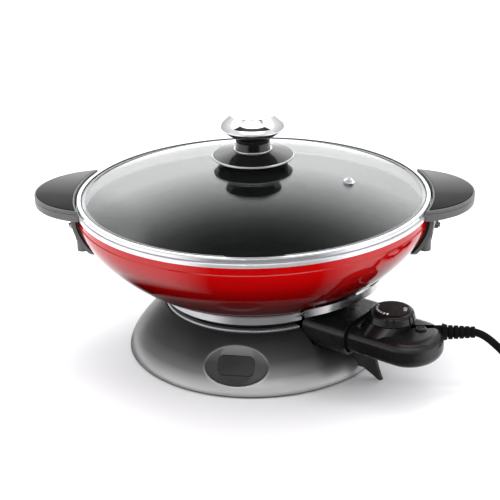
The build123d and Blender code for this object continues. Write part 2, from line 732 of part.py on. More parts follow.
# ================================================================== shroud
def make_shroud():
    """Oval tube from the bowl's foot to the mouth that guards the contacts."""
    half = BODY_HALF + SHROUD_PLAY
    low = BODY_LOW_Z - SHROUD_PLAY
    high = BODY_TOP_Z + SHROUD_PLAY
    bore = RectangleRounded(2 * half, high - low, SHROUD_CORNER_R - SHROUD_WALL)
    bore = Plane.YZ * Pos(0, (low + high) / 2) * bore
    bore = extrude(bore, SHROUD_TO_R - SHROUD_FROM_R + 2)
    tube = shroud_outer() - to_probe(Pos(SHROUD_FROM_R - 1, 0, 0) * bore)
    tube -= disc(FOOT_RING_R + NOTCH_GAP, 0, BOWL_BOTTOM_Z + 20)
    tube -= bowl_envelope(1.0)
    return tube


# ================================================================== thermostat
def plan_outline(margin=0.0, nose=BODY_NOSE_R):
    """Plan of the thermostat: straight sides and a rounded end."""
    half = BODY_HALF - margin
    end = BODY_ROUND_LONG - margin
    return make_face([
        Line((nose, half), (nose, -half)),
        Line((nose, -half), (BODY_ROUND_R, -half)),
        EllipticalCenterArc((BODY_ROUND_R, 0), end, half, -90, arc_size=180),
        Line((BODY_ROUND_R, half), (nose, half)),
    ])


def housing_blank(margin=0.0, nose=BODY_NOSE_R):
    low = BODY_LOW_Z + margin
    high = BODY_TOP_Z - margin
    blank = Pos(0, 0, low) * extrude(plan_outline(margin, nose), high - low)
    rims = blank.edges().group_by(Axis.Z)[0] + blank.edges().group_by(Axis.Z)[-1]
    curved = [edge for edge in rims if edge.center().X > nose + 1]
    return fillet(curved, BODY_FILLET - margin)


def housing_hollow():
    return housing_blank(BODY_WALL, BODY_NOSE_R - 5)


def dial_platform():
    """Raised seat under the dial, running out towards the rounded end."""
    middle = DIAL_R_POS - PLATFORM_BACK
    corner_r = min(PLATFORM_CORNER_R, 0.48 * PLATFORM_LONG)
    low = BODY_TOP_Z - BODY_WALL + 0.5
    foot = Pos(middle, 0, low) * RectangleRounded(PLATFORM_LONG, 2 * PLATFORM_HALF, corner_r)
    head = Pos(DIAL_R_POS, 0, PLATFORM_TOP_Z) * Circle(DIAL_GRIP_R - 0.4)
    return loft([foot, head])


def relief_rod(radius, from_x, to_x):
    return rod((from_x, RELIEF_Y, RELIEF_Z), (to_x, RELIEF_Y, RELIEF_Z), radius)


def make_housings():
    """Upper and lower shells of the thermostat, split along one plane."""
    shell = housing_blank()
    shell += dial_platform()
    shell -= housing_hollow()
    shell -= Pos(DIAL_R_POS, 0, BODY_TOP_Z) * Cylinder(SPINDLE_R + DIAL_RUN_GAP, 40)
    shell -= Pos(LAMP_R_POS, LAMP_OFF, BODY_TOP_Z) * Cylinder(LAMP_BEZEL_R - 1 + FIT_GAP, 20)
    shell = to_probe(shell)
    shell -= relief_rod(RELIEF_COLLAR_R - 2 + FIT_GAP, RELIEF_FROM_X - 30, RELIEF_TO_X)
    reach = BODY_ROUND_R + 2 * BODY_ROUND_LONG
    lower = shell & disc(reach, BODY_LOW_Z - 1, BODY_SPLIT_Z)
    upper = shell & disc(reach, BODY_SPLIT_Z, PLATFORM_TOP_Z + 1)
    return upper, lower


def make_contact_block():
    """Moulded nose with the two sockets and the sensing stem's seat."""
    far = BODY_NOSE_R + CONTACT_BLOCK_LONG
    hollow = housing_hollow() & block(BODY_NOSE_R, far, -BODY_HALF, BODY_HALF, BODY_LOW_Z, BODY_TOP_Z)
    for side in (-PIN_OUT, PIN_OUT):
        hollow -= rod((BODY_NOSE_R - 1, side, PIN_Z), (PIN_TO_R + 2, side, PIN_Z), PIN_R + SOCKET_GAP)
    hollow -= rod((BODY_NOSE_R - 1, 0, PIN_Z), (BODY_NOSE_R + 12, 0, PIN_Z), SENSOR_R)
    return to_probe(hollow)


def make_sensor_stem():
    stem = rod((SENSOR_TIP_R, 0, PIN_Z), (BODY_NOSE_R + 12, 0, PIN_Z), SENSOR_R)
    stem = fillet(stem.edges().sort_by(Axis.X)[0], SENSOR_R * 0.8)
    return to_probe(stem)


def make_switch_block():
    """Thermostat switch on the floor of the housing, turned by the spindle."""
    low = BODY_LOW_Z + BODY_WALL
    half = SWITCH_LONG / 2
    body = block(DIAL_R_POS - half, DIAL_R_POS + half, -SWITCH_WIDE / 2, SWITCH_WIDE / 2, low, SWITCH_TOP_Z)
    body -= Pos(DIAL_R_POS, 0, SWITCH_TOP_Z) * Cylinder(SPINDLE_R + DIAL_RUN_GAP, 16)
    return to_probe(body)


def dial_low():
    return PLATFORM_TOP_Z + SEAT_GAP


def make_dial_grip():
    """Notched grip ring that tapers to the marked face."""
    low = dial_low()
    high = low + DIAL_TALL
    skirt = spin(
        Line(at(0, low), at(DIAL_GRIP_R - 0.8, low)),
        Line(at(DIAL_GRIP_R - 0.8, low), at(DIAL_GRIP_R, low + 1.0)),
        Line(at(DIAL_GRIP_R, low + 1.0), at(DIAL_GRIP_R - 1.2, low + 6.0)),
        ThreePointArc(
            at(DIAL_GRIP_R - 1.2, low + 6.0),
            at(DIAL_TOP_R + 3.4, high - 1.6),
            at(DIAL_TOP_R + 0.6, high - 0.2),
        ),
        Line(at(DIAL_TOP_R + 0.6, high - 0.2), at(DIAL_TOP_R, high - 0.8)),
        Line(at(DIAL_TOP_R, high - 0.8), at(0, high - 0.8)),
        Line(at(0, high - 0.8), at(0, low)),
    )
    cutter = rod((DIAL_GRIP_R + 0.3, 0, low - 1), (DIAL_GRIP_R - 2.2, 0, low + 8.5), DIAL_NOTCH_R)
    for index in range(DIAL_NOTCH_PAIRS):
        middle = index * 360 / DIAL_NOTCH_PAIRS
        for turn in (-DIAL_NOTCH_TURN, DIAL_NOTCH_TURN):
            skirt -= Rot(0, 0, middle + turn) * cutter
    skirt -= Cylinder(SPINDLE_R + FIT_GAP / 2, 2 * (high - 2.5))
    return to_probe(Pos(DIAL_R_POS, 0, 0) * skirt)


def make_dial_face():
    """Slightly crowned disc that carries the marks."""
    low = dial_low() + DIAL_TALL - 0.8
    face = disc(DIAL_TOP_R - FIT_GAP, low, low + 1.2)
    face = fillet(face.edges().group_by(Axis.Z)[-1], 0.5)
    return to_probe(Pos(DIAL_R_POS, 0, 0) * face)


def make_spindle():
    low = SWITCH_TOP_Z - 6
    return to_probe(Pos(DIAL_R_POS, 0, 0) * disc(SPINDLE_R, low, dial_low() + DIAL_TALL - 2.6))


def make_lamp_bezel():
    ring = disc(LAMP_BEZEL_R, BODY_TOP_Z, BODY_TOP_Z + 1.4, LAMP_LENS_R + FIT_GAP)
    ring = fillet(ring.edges().group_by(Axis.Z)[-1], 0.4)
    ring += disc(LAMP_BEZEL_R - 1, BODY_TOP_Z - BODY_WALL, BODY_TOP_Z, LAMP_LENS_R + FIT_GAP)
    return to_probe(Pos(LAMP_R_POS, LAMP_OFF, 0) * ring)


def make_lamp_lens():
    lens = disc(LAMP_LENS_R, BODY_TOP_Z - BODY_WALL, BODY_TOP_Z + 1.0)
    lens = fillet(lens.edges().group_by(Axis.Z)[-1], 0.9)
    return to_probe(Pos(LAMP_R_POS, LAMP_OFF, 0) * lens)


# ================================================================== cord
def make_strain_relief():
    """Collar and ribbed sleeve where the cord leaves the housing."""
    collar_end = RELIEF_FROM_X + RELIEF_COLLAR_LONG
    neck_r = RELIEF_COLLAR_R - 2
    body = relief_rod(neck_r, RELIEF_FROM_X - 6, collar_end)
    collar = Plane((collar_end - 4.5, RELIEF_Y, RELIEF_Z), z_dir=(1, 0, 0))
    body += loft([collar * Circle(RELIEF_COLLAR_R), collar.offset(4.5) * Circle(RELIEF_COLLAR_R - 1.6)])
    pitch = (RELIEF_TO_X - collar_end) / RELIEF_RIB_COUNT
    core_r = RELIEF_END_R - 0.8
    body += relief_rod(core_r, collar_end, RELIEF_TO_X)
    for index in range(RELIEF_RIB_COUNT):
        share = index / (RELIEF_RIB_COUNT - 1)
        radius = RELIEF_RIB_R + (RELIEF_END_R - RELIEF_RIB_R) * share
        start = collar_end + index * pitch + pitch * 0.22
        rib = relief_rod(radius, start, collar_end + (index + 1) * pitch)
        rib = fillet(rib.edges(), 0.7)
        body += rib
    shaft = relief_rod(neck_r, RELIEF_FROM_X - 6, collar_end)
    return (body - to_probe(housing_blank())) + shaft


def corner_radii(points):
    """Bend radius at each inner point: 0.45 of the shorter run over the tangent of half the turn."""
    radii = []
    for before, here, after in zip(points, points[1:], points[2:]):
        first = Vector(*here) - Vector(*before)
        second = Vector(*after) - Vector(*here)
        turn = math.radians(first.get_angle(second))
        radii.append(0.45 * min(first.length, second.length) / math.tan(turn / 2))
    return radii


def make_cord():
    radii = corner_radii(CORD_ROUTE)
    print("cord bend radii", [round(radius, 1) for radius in radii])
    path = FilletPolyline(*CORD_ROUTE, radius=radii)
    tube = sweep(Plane(path @ 0, z_dir=path % 0) * Circle(CORD_R), path)
    share = tube.volume / (path.length * math.pi * CORD_R ** 2)
    print("cord length", round(path.length, 1), "volume share", round(share, 4))
    return tube


def coil_place():
    """Middle of the coil, turned so that its first straight follows the cord's last run."""
    before = Vector(*CORD_ROUTE[-2])
    end = Vector(*CORD_ROUTE[-1])
    heading = math.degrees(math.atan2(end.Y - before.Y, end.X - before.X))
    return Pos(end.X, end.Y, end.Z - CORD_R) * Rot(0, 0, heading) * Pos(COIL_TAIL_LONG, COIL_MID_R, 0)


def make_coil():
    """Outer shape of the put-away turns, with a straight into them and one out to the plug."""
    half = COIL_TURNS_WIDE * CORD_R
    ring = disc(COIL_MID_R + half, 0, COIL_TURNS_HIGH * 2 * CORD_R, COIL_MID_R - half)
    ring = fillet(ring.edges().filter_by(GeomType.CIRCLE), CORD_R * 0.65)
    first = rod((-COIL_TAIL_LONG, -COIL_MID_R, CORD_R), (0, -COIL_MID_R, CORD_R), CORD_R)
    last = rod((COIL_MID_R, 0, CORD_R), (COIL_MID_R, COIL_TAIL_LONG, CORD_R), CORD_R)
    return coil_place() * (ring + first + last)


# ================================================================== handles
def handle_plan(margin=0.0):
    """Plan of the right-hand handle, hollowed by the bowl."""
    middle = HANDLE_TIP_X - HANDLE_LONG
    shape = Pos(middle, 0) * Ellipse(HANDLE_LONG - margin, HANDLE_HALF - margin)
    return shape - Circle(HANDLE_ROOT_R + margin)


def mirrored(piece):
    """The left-hand copy of a right-hand handle piece."""
    return Rot(0, 0, 180) * piece


def make_handle_grip():
    low = HANDLE_TOP_Z - HANDLE_THICK
    grip = Pos(0, 0, low) * extrude(handle_plan(), HANDLE_THICK)
    grip = fillet(grip.edges().group_by(Axis.Z)[-1], HANDLE_EDGE_FILLET)
    grip = fillet(grip.edges().group_by(Axis.Z)[0], HANDLE_UNDER_FILLET)
    groove = handle_plan(-HANDLE_GROOVE_DEEP) - handle_plan(HANDLE_GROOVE_DEEP)
    grip -= Pos(0, 0, HANDLE_TOP_Z - HANDLE_GROOVE_DOWN) * extrude(groove, HANDLE_GROOVE_TALL)
    recess = Pos(0, 0, HANDLE_TOP_Z - CAP_DEEP) * extrude(handle_plan(CAP_MARGIN), CAP_DEEP + 1)
    grip -= recess
    for side in (-BOSS_OUT_Y, BOSS_OUT_Y):
        grip -= Pos(GRIP_SCREW_X, side, low) * Cylinder(GRIP_SCREW_R + FIT_GAP / 2, 2 * GRIP_SCREW_BITE + 1)
    return grip


def make_handle_cap():
    low = HANDLE_TOP_Z - CAP_DEEP
    cap = Pos(0, 0, low) * extrude(handle_plan(CAP_MARGIN + FIT_GAP), CAP_DEEP + CAP_PROUD)
    return fillet(cap.edges().group_by(Axis.Z)[-1], 1.0)


def saddle_window(margin=0.0):
    """Side view of the saddle, as a prism along X with rounded lower corners."""
    half = SADDLE_HALF - margin
    high = HANDLE_TOP_Z - HANDLE_EDGE_FILLET
    tall = high - SADDLE_LOW_Z - margin
    prism = block(BOWL_FOOT_R, HANDLE_TIP_X, -half, half, high - tall, high)
    corners = prism.edges().filter_by(Axis.X).group_by(Axis.Z)[0]
    return fillet(corners, SADDLE_CORNER_R)


def make_handle_pad():
    """Heat-resistant pad between the bowl and the saddle."""
    pad = bowl_shell_between(SEAT_GAP, PAD_THICK, SADDLE_LOW_Z, saddle_top() - FIT_GAP)
    pad &= saddle_window(1.5)
    return drill_stud_holes(pad)


def drill_stud_holes(piece):
    for turn in (-HANDLE_STUD_AZ, HANDLE_STUD_AZ):
        near = (BOWL_FOOT_R, 0, HANDLE_STUD_Z)
        far = (HANDLE_TIP_X, 0, HANDLE_STUD_Z)
        piece -= Rot(0, 0, turn) * rod(near, far, HANDLE_STUD_R + FIT_GAP)
    return piece


def saddle_top():
    """Underside of the grip, where the saddle ends."""
    return HANDLE_TOP_Z - HANDLE_THICK


def saddle_web():
    """Rib that carries the grip beyond the bowl's edge."""
    top = saddle_top()
    lug_low = top - GRIP_LUG_TALL
    web = make_face(Polyline(
        at(BOSS_X - 2 * BOSS_R, WEB_LOW_Z + WEB_THICK),
        at(BOSS_X + BOSS_R, WEB_LOW_Z),
        at(GRIP_SCREW_X - GRIP_LUG_R, lug_low),
        at(GRIP_SCREW_X, lug_low),
        at(GRIP_SCREW_X, top),
        at(BOSS_X - 2 * BOSS_R, top),
        close=True,
    ))
    lug = Pos(GRIP_SCREW_X, 0, (lug_low + top) / 2) * Cylinder(GRIP_LUG_R, GRIP_LUG_TALL)
    return extrude(web, WEB_THICK / 2, both=True) + lug


def make_handle_saddle():
    """Moulded saddle that follows the bowl, with two hollow bosses and their webs."""
    near = PAD_THICK + FIT_GAP / 2
    far = near + SADDLE_THICK
    saddle = bowl_shell_between(near, far, SADDLE_LOW_Z, saddle_top()) & saddle_window()
    outside = bowl_envelope(far - 0.5)
    boss_top = HANDLE_STUD_Z + BOSS_R
    boss = Pos(BOSS_X, 0, (BOSS_LOW_Z + boss_top) / 2) * Cylinder(BOSS_R, boss_top - BOSS_LOW_Z)
    bore = Pos(BOSS_X, 0, BOSS_LOW_Z) * Cylinder(BOSS_BORE_R, 20)
    screw_hole = Pos(GRIP_SCREW_X, 0, saddle_top()) * Cylinder(GRIP_SCREW_R + FIT_GAP, 4 * GRIP_LUG_TALL)
    for side in (-BOSS_OUT_Y, BOSS_OUT_Y):
        saddle += Pos(0, side, 0) * (boss + saddle_web()) - outside
        saddle -= Pos(0, side, 0) * (bore + screw_hole)
    return drill_stud_holes(saddle)


def make_handle_screws():
    """Screws that draw each grip down onto its saddle."""
    low = saddle_top() - GRIP_LUG_TALL
    head = disc(GRIP_SCREW_HEAD_R, low - GRIP_SCREW_HEAD_TALL, low)
    screw = head + disc(GRIP_SCREW_R, low, saddle_top() + GRIP_SCREW_BITE)
    screws = []
    for side in (-BOSS_OUT_Y, BOSS_OUT_Y):
        placed = Pos(GRIP_SCREW_X, side, 0) * screw
        screws += [placed, mirrored(placed)]
    return screws


def handle_stud_end():
    return COLLAR_R + PAD_THICK + SADDLE_THICK + HANDLE_STUD_PROUD


def make_handle_studs():
    """Welded studs on the bowl that carry the saddles."""
    far = handle_stud_end()
    studs = []
    for turn in (-HANDLE_STUD_AZ, HANDLE_STUD_AZ):
        stud = Rot(0, 0, turn) * rod((BOWL_FOOT_R, 0, HANDLE_STUD_Z), (far, 0, HANDLE_STUD_Z), HANDLE_STUD_R)
        stud -= bowl_envelope(0.0)
        studs += [stud, mirrored(stud)]
    return studs


def make_handle_nuts():
    saddle_far = PAD_THICK + FIT_GAP / 2 + SADDLE_THICK
    far = handle_stud_end() - HANDLE_NUT_BACK
    near = far - HANDLE_NUT_TALL
    nuts = []
    for turn in (-HANDLE_STUD_AZ, HANDLE_STUD_AZ):
        nut = hexagon((near, 0, HANDLE_STUD_Z), (1, 0, 0), HANDLE_NUT_R, HANDLE_NUT_TALL)
        nut -= rod((near - 1, 0, HANDLE_STUD_Z), (far + 1, 0, HANDLE_STUD_Z), HANDLE_STUD_R + FIT_GAP / 2)
        nut = Rot(0, 0, turn) * nut - bowl_envelope(saddle_far)
        nuts += [nut, mirrored(nut)]
    return nuts


# ================================================================== lid
def crown_point(r, edge_r, top_z, rise):
    """Point of a spherical crown centred on the axis."""
    ball_r = (edge_r ** 2 + rise ** 2) / (2 * rise)
    return at(r, top_z - ball_r + math.sqrt(ball_r ** 2 - r ** 2))


def crown_arc(from_r, to_r, edge_r, top_z, rise):
    middle = (from_r + to_r) / 2
    ends = [crown_point(r, edge_r, top_z, rise) for r in (from_r, middle, to_r)]
    return ThreePointArc(*ends)


def glass_flat_z():
    """Upper face of the flat edge of the glass."""
    return LID_Z + BAND_TALL - BAND_LIP


def crown_height(r):
    """Height of the glass's outer face at a distance from the axis."""
    return crown_point(r, DOME_R, glass_flat_z() + DOME_RISE, DOME_RISE).Z


def dome_arc(drop=0.0):
    """Crown of the glass, from the flat edge up to the centre hole."""
    return crown_arc(DOME_R, GLASS_HOLE_R, DOME_R, glass_flat_z() + DOME_RISE - drop, DOME_RISE)


def make_glass():
    top = dome_arc()
    under = dome_arc(GLASS_THICK)
    flat_top = (top @ 0).Z
    flat_low = (under @ 0).Z
    glass = spin(
        Line(at(GLASS_EDGE_R, flat_low), at(GLASS_EDGE_R, flat_top)),
        Line(at(GLASS_EDGE_R, flat_top), top @ 0),
        top,
        Line(top @ 1, under @ 1),
        under,
        Line(under @ 0, at(GLASS_EDGE_R, flat_low)),
    )
    return glass - Pos(VENT_X, VENT_Y, LID_Z) * Cylinder(VENT_R, 100)


def make_band():
    """Rolled steel band that grips the edge of the glass."""
    high = LID_Z + BAND_TALL
    glass_top = glass_flat_z()
    glass_low = glass_top - GLASS_THICK
    band = disc(BAND_R, LID_Z, high, BAND_IN_R)
    band = fillet(band.edges().filter_by(GeomType.CIRCLE).sort_by(SortBy.RADIUS)[-2:], 0.9)
    groove = disc(GLASS_EDGE_R + FIT_GAP, glass_low - 0.05, glass_top + 0.05)
    return band - groove


def make_lid_seal():
    low = glass_flat_z()
    return disc(BAND_IN_R - 0.1, low, low + 0.5, BAND_IN_R - SEAL_WIDTH)


def make_vent_grommet():
    reach = math.hypot(VENT_X, VENT_Y)
    z = crown_height(reach)
    tilt = math.degrees(math.asin(reach * 2 * DOME_RISE / (DOME_R ** 2 + DOME_RISE ** 2)))
    ring = disc(GROMMET_FLANGE_R, 0.5, 1.6)
    ring = fillet(ring.edges(), 0.4)
    leaning = Pos(reach, 0, z) * Rot(0, tilt, 0)
    flange = leaning * ring
    sleeve = Pos(reach, 0, z - 1) * Cylinder(VENT_R - FIT_GAP, 9.0)
    under = leaning * disc(GROMMET_FLANGE_R - 0.8, -GLASS_THICK - 1.3, -GLASS_THICK - 0.3)
    grommet = flange + sleeve + under
    grommet -= Pos(reach, 0, z) * Cylinder(GROMMET_BORE_R, 20)
    return Rot(0, 0, math.degrees(math.atan2(VENT_Y, VENT_X))) * grommet


def make_guard_disc():
    """Broad disc under the knob that keeps fingers off the hot glass."""
    foot_z = crown_height(KNOB_SCREW_R) + FIT_GAP / 2
    low = GUARD_LOW_Z
    bore = KNOB_SCREW_R + FIT_GAP
    edge_low = at(GUARD_R - 0.4, GUARD_EDGE_Z - 1)
    edge_high = at(GUARD_R - 0.4, GUARD_EDGE_Z + 0.8)
    shoulder_r = (GUARD_R + NECK_RING_R) / 2
    return spin(
        Line(at(bore, foot_z), at(GUARD_FOOT_R, foot_z)),
        Line(at(GUARD_FOOT_R, foot_z), at(GUARD_FOOT_R, low + 1.0)),
        Line(at(GUARD_FOOT_R, low + 1.0), at(GUARD_LOW_R - 0.8, low)),
        Line(at(GUARD_LOW_R - 0.8, low), at(GUARD_LOW_R, low + 0.8)),
        ThreePointArc(at(GUARD_LOW_R, low + 0.8), at(GUARD_LOW_R + 2.8, GUARD_EDGE_Z - 2.2), edge_low),
        Line(edge_low, edge_high),
        ThreePointArc(edge_high, at(shoulder_r, GUARD_EDGE_Z + 3.6), at(NECK_RING_R, GUARD_TOP_Z)),
        Line(at(NECK_RING_R, GUARD_TOP_Z), at(bore, GUARD_TOP_Z)),
        Line(at(bore, GUARD_TOP_Z), at(bore, foot_z)),
    )


def make_guard_trim():
    """Bright ring round the edge of the guard disc."""
    low = GUARD_EDGE_Z - 0.9
    ring = disc(GUARD_R + 0.4, low, low + TRIM_TALL, GUARD_R - 0.3)
    return fillet(ring.edges().filter_by(GeomType.CIRCLE).sort_by(SortBy.RADIUS)[-2:], 0.3)


def make_neck_ring():
    ring = disc(NECK_RING_R, GUARD_TOP_Z, GUARD_TOP_Z + NECK_RING_TALL, KNOB_SCREW_R + 1)
    return fillet(ring.edges().filter_by(GeomType.CIRCLE).sort_by(SortBy.RADIUS)[-2:], 0.5)


def make_neck():
    """Black waist of the knob, flaring out under the cap."""
    low = GUARD_TOP_Z + NECK_RING_TALL
    waist = at(NECK_R - NECK_WAIST, NECK_TOP_Z - NECK_FLARE_TALL)
    cone = at(NECK_FLARE_R - NECK_CONE_IN, NECK_TOP_Z - NECK_CONE_TALL)
    cone_lean = math.degrees(math.atan2(NECK_CONE_TALL, NECK_CONE_IN))
    neck = spin(
        Line(at(0, low), at(NECK_R, low)),
        Line(at(NECK_R, low), waist),
        profile_curve(waist, 90, NECK_CURVE_PULL, cone, cone_lean, NECK_CURVE_PULL),
        Line(cone, at(NECK_FLARE_R, NECK_TOP_Z)),
        Line(at(NECK_FLARE_R, NECK_TOP_Z), at(0, NECK_TOP_Z)),
        Line(at(0, NECK_TOP_Z), at(0, low)),
    )
    return neck - disc(KNOB_SCREW_R + FIT_GAP / 2, low - 1, low + KNOB_SCREW_BITE + 2)


def make_cap():
    """Chromed cap with a soft rolled edge and a low crown."""
    low = NECK_TOP_Z
    crown_edge = at(CAP_CROWN_R, KNOB_TOP_Z - CAP_CROWN_RISE)
    return spin(
        Line(at(0, low), at(NECK_FLARE_R, low)),
        ThreePointArc(at(NECK_FLARE_R, low), at(CAP_R - 0.3, low + 1.4), at(CAP_R, low + 3.0)),
        ThreePointArc(at(CAP_R, low + 3.0), at(CAP_R - 2.8, low + 7.8), crown_edge),
        crown_arc(CAP_CROWN_R, 0, CAP_CROWN_R, KNOB_TOP_Z, CAP_CROWN_RISE),
        Line(at(0, KNOB_TOP_Z), at(0, low)),
    )


def make_knob_screw():
    glass_low = crown_height(KNOB_WASHER_R) - GLASS_THICK
    head_top = glass_low - KNOB_WASHER_THICK - FIT_GAP / 2
    head = disc(KNOB_SCREW_HEAD_R, head_top - KNOB_SCREW_HEAD_TALL, head_top)
    head = fillet(head.edges().group_by(Axis.Z)[0], 1.0)
    return head + disc(KNOB_SCREW_R, head_top, GUARD_TOP_Z + NECK_RING_TALL + KNOB_SCREW_BITE)


def make_knob_washer():
    glass_low = crown_height(KNOB_WASHER_R) - GLASS_THICK
    high = glass_low - FIT_GAP / 2
    return disc(KNOB_WASHER_R, high - KNOB_WASHER_THICK, high, KNOB_SCREW_R + FIT_GAP)


# ================================================================== plug
def plug_plane(along, z):
    """Plane across the plug, at a distance from where the cord enters it."""
    return Plane((0, along, z), x_dir=(1, 0, 0), z_dir=(0, 1, 0))


def plug_place():
    return coil_place() * Pos(COIL_MID_R, COIL_TAIL_LONG, 0)


def make_plug_body():
    """Moulded plug with a tapered neck round the cord."""
    middle = PLUG_THICK / 2
    entry = plug_plane(0, CORD_R) * Circle(CORD_R)
    waist = plug_plane(PLUG_NECK_LONG, middle) * Circle(PLUG_WAIST_R)
    face_at = plug_plane(PLUG_NECK_LONG + PLUG_GRIP_LONG, middle)
    face = face_at * RectangleRounded(PLUG_FACE_WIDE, PLUG_THICK, PLUG_CORNER_R)
    body = loft([entry, waist]) + loft([waist, face]) + extrude(face, PLUG_RIM_LONG)
    return plug_place() * body


def make_plug_blades():
    """Three flat blades: two that lean together and one upright earth blade."""
    start = PLUG_NECK_LONG + PLUG_GRIP_LONG + PLUG_RIM_LONG
    blades = []
    for across, up, turn in ((-7.9, 2.2, -30), (7.9, 2.2, 30), (0, -4.6, 0)):
        blade = Box(1.6, PLUG_BLADE_LONG, 6.3)
        blade = Pos(across, start + PLUG_BLADE_LONG / 2, PLUG_THICK / 2 + up) * Rot(0, turn, 0) * blade
        blades.append(plug_place() * blade)
    return blades


# ================================================================== write the pieces
def build_all():
    upper, lower = make_housings()
    grip = make_handle_grip()
    cap = make_handle_cap()
    saddle = make_handle_saddle()
    pad = make_handle_pad()
    pieces = {
        "base_skirt": make_skirt(),
        "base_top_ring": make_top_ring(),
        "base_bottom_cover": make_bottom_cover(),
        "base_badge_plate": make_badge_plate(),
        "rubber_feet": Compound(make_rubber_feet()),
        "base_screws": Compound(make_base_screws()),
        "spacer_ring": make_spacer_ring(),
        "support_toe": make_toe(),
        "wok_bowl": make_bowl(),
        "wok_rim": make_rim(),
        "wok_foot_ring": make_foot_ring(),
        "heating_element": make_element(),
        "contact_pins": Compound(make_pins()),
        "terminal_bracket": make_terminal_bracket(),
        "sensor_boss": make_sensor_boss(),
        "heat_reflector": make_reflector(),
        "centre_stud": make_centre_stud(),
        "stud_washer": make_stud_washer(),
        "stud_nut": make_stud_nut(),
        "heat_shield": make_heat_shield(),
        "probe_shroud": make_shroud(),
        "handle_grip_right": grip,
        "handle_grip_left": mirrored(grip),
        "handle_cap_right": cap,
        "handle_cap_left": mirrored(cap),
        "handle_saddle_right": saddle,
        "handle_saddle_left": mirrored(saddle),
        "handle_pad_right": pad,
        "handle_pad_left": mirrored(pad),
        "handle_screws": Compound(make_handle_screws()),
        "handle_studs": Compound(make_handle_studs()),
        "handle_nuts": Compound(make_handle_nuts()),
        "lid_glass": make_glass(),
        "lid_band": make_band(),
        "lid_seal": make_lid_seal(),
        "vent_grommet": make_vent_grommet(),
        "knob_guard_disc": make_guard_disc(),
        "knob_guard_trim": make_guard_trim(),
        "knob_neck_ring": make_neck_ring(),
        "knob_neck": make_neck(),
        "knob_cap": make_cap(),
        "knob_screw": make_knob_screw(),
        "knob_washer": make_knob_washer(),
        "thermostat_upper": upper,
        "thermostat_lower": lower,
        "contact_block": make_contact_block(),
        "sensor_stem": make_sensor_stem(),
        "switch_block": make_switch_block(),
        "lamp_bezel": make_lamp_bezel(),
        "lamp_lens": make_lamp_lens(),
        "strain_relief": make_strain_relief(),
        "power_cord": make_cord(),
        "cord_coil": make_coil(),
        "plug_body": make_plug_body(),
        "plug_blades": Compound(make_plug_blades()),
        "dial_grip": make_dial_grip(),
        "dial_face": make_dial_face(),
        "dial_spindle": make_spindle(),
    }
    for name, piece in pieces.items():
        save(piece, name)


build_all()
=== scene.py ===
"""Looks of the electric wok: materials, lead, knob cap, dial marks, floor, light and camera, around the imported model.

Metres, +Z up, the origin on the table under the middle of the pedestal.  Routes and profiles are in millimetres.
"""

import math

import bpy
from mathutils import Matrix, Vector


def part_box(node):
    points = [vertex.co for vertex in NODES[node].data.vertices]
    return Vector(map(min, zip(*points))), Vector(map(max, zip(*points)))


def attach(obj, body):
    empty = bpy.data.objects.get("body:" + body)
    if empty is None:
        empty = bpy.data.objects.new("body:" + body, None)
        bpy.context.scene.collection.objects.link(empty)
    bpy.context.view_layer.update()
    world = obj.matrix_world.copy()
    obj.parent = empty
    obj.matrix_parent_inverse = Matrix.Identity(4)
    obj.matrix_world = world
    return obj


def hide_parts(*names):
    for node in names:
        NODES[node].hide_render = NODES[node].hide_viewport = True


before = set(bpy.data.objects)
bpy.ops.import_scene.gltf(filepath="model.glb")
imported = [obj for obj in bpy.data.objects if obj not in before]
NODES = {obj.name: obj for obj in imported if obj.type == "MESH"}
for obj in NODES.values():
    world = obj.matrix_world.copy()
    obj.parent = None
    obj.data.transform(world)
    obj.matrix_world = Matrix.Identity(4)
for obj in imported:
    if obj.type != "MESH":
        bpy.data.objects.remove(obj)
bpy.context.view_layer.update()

MM = 0.001


def placed(name, data):
    """A new object in the scene that holds the data."""
    obj = bpy.data.objects.new(name, data)
    bpy.context.scene.collection.objects.link(obj)
    return obj


# ---------------------------------------------------------------- camera, fitted to the rim, knob and pedestal
EYE = Vector((0.06790, -1.25575, 0.62491))
AHEAD = Vector((-0.03494, 0.92202, -0.38555)).normalized()
LEVEL = Vector((0.99928, 0.03786, 0.0)).normalized()
ROLL = math.radians(0.869)


def make_camera():
    upright = LEVEL.cross(AHEAD)
    across = LEVEL * math.cos(ROLL) - upright * math.sin(ROLL)
    up = LEVEL * math.sin(ROLL) + upright * math.cos(ROLL)
    data = bpy.data.cameras.new("camera")
    data.lens = 96.0
    data.sensor_width = 36.0
    data.shift_x = -0.05
    data.clip_start = 0.05
    data.clip_end = 60.0
    eye = placed("camera", data)
    turn = Matrix((across, up, -AHEAD)).transposed().to_4x4()
    eye.matrix_world = Matrix.Translation(EYE) @ turn
    bpy.context.scene.camera = eye


make_camera()


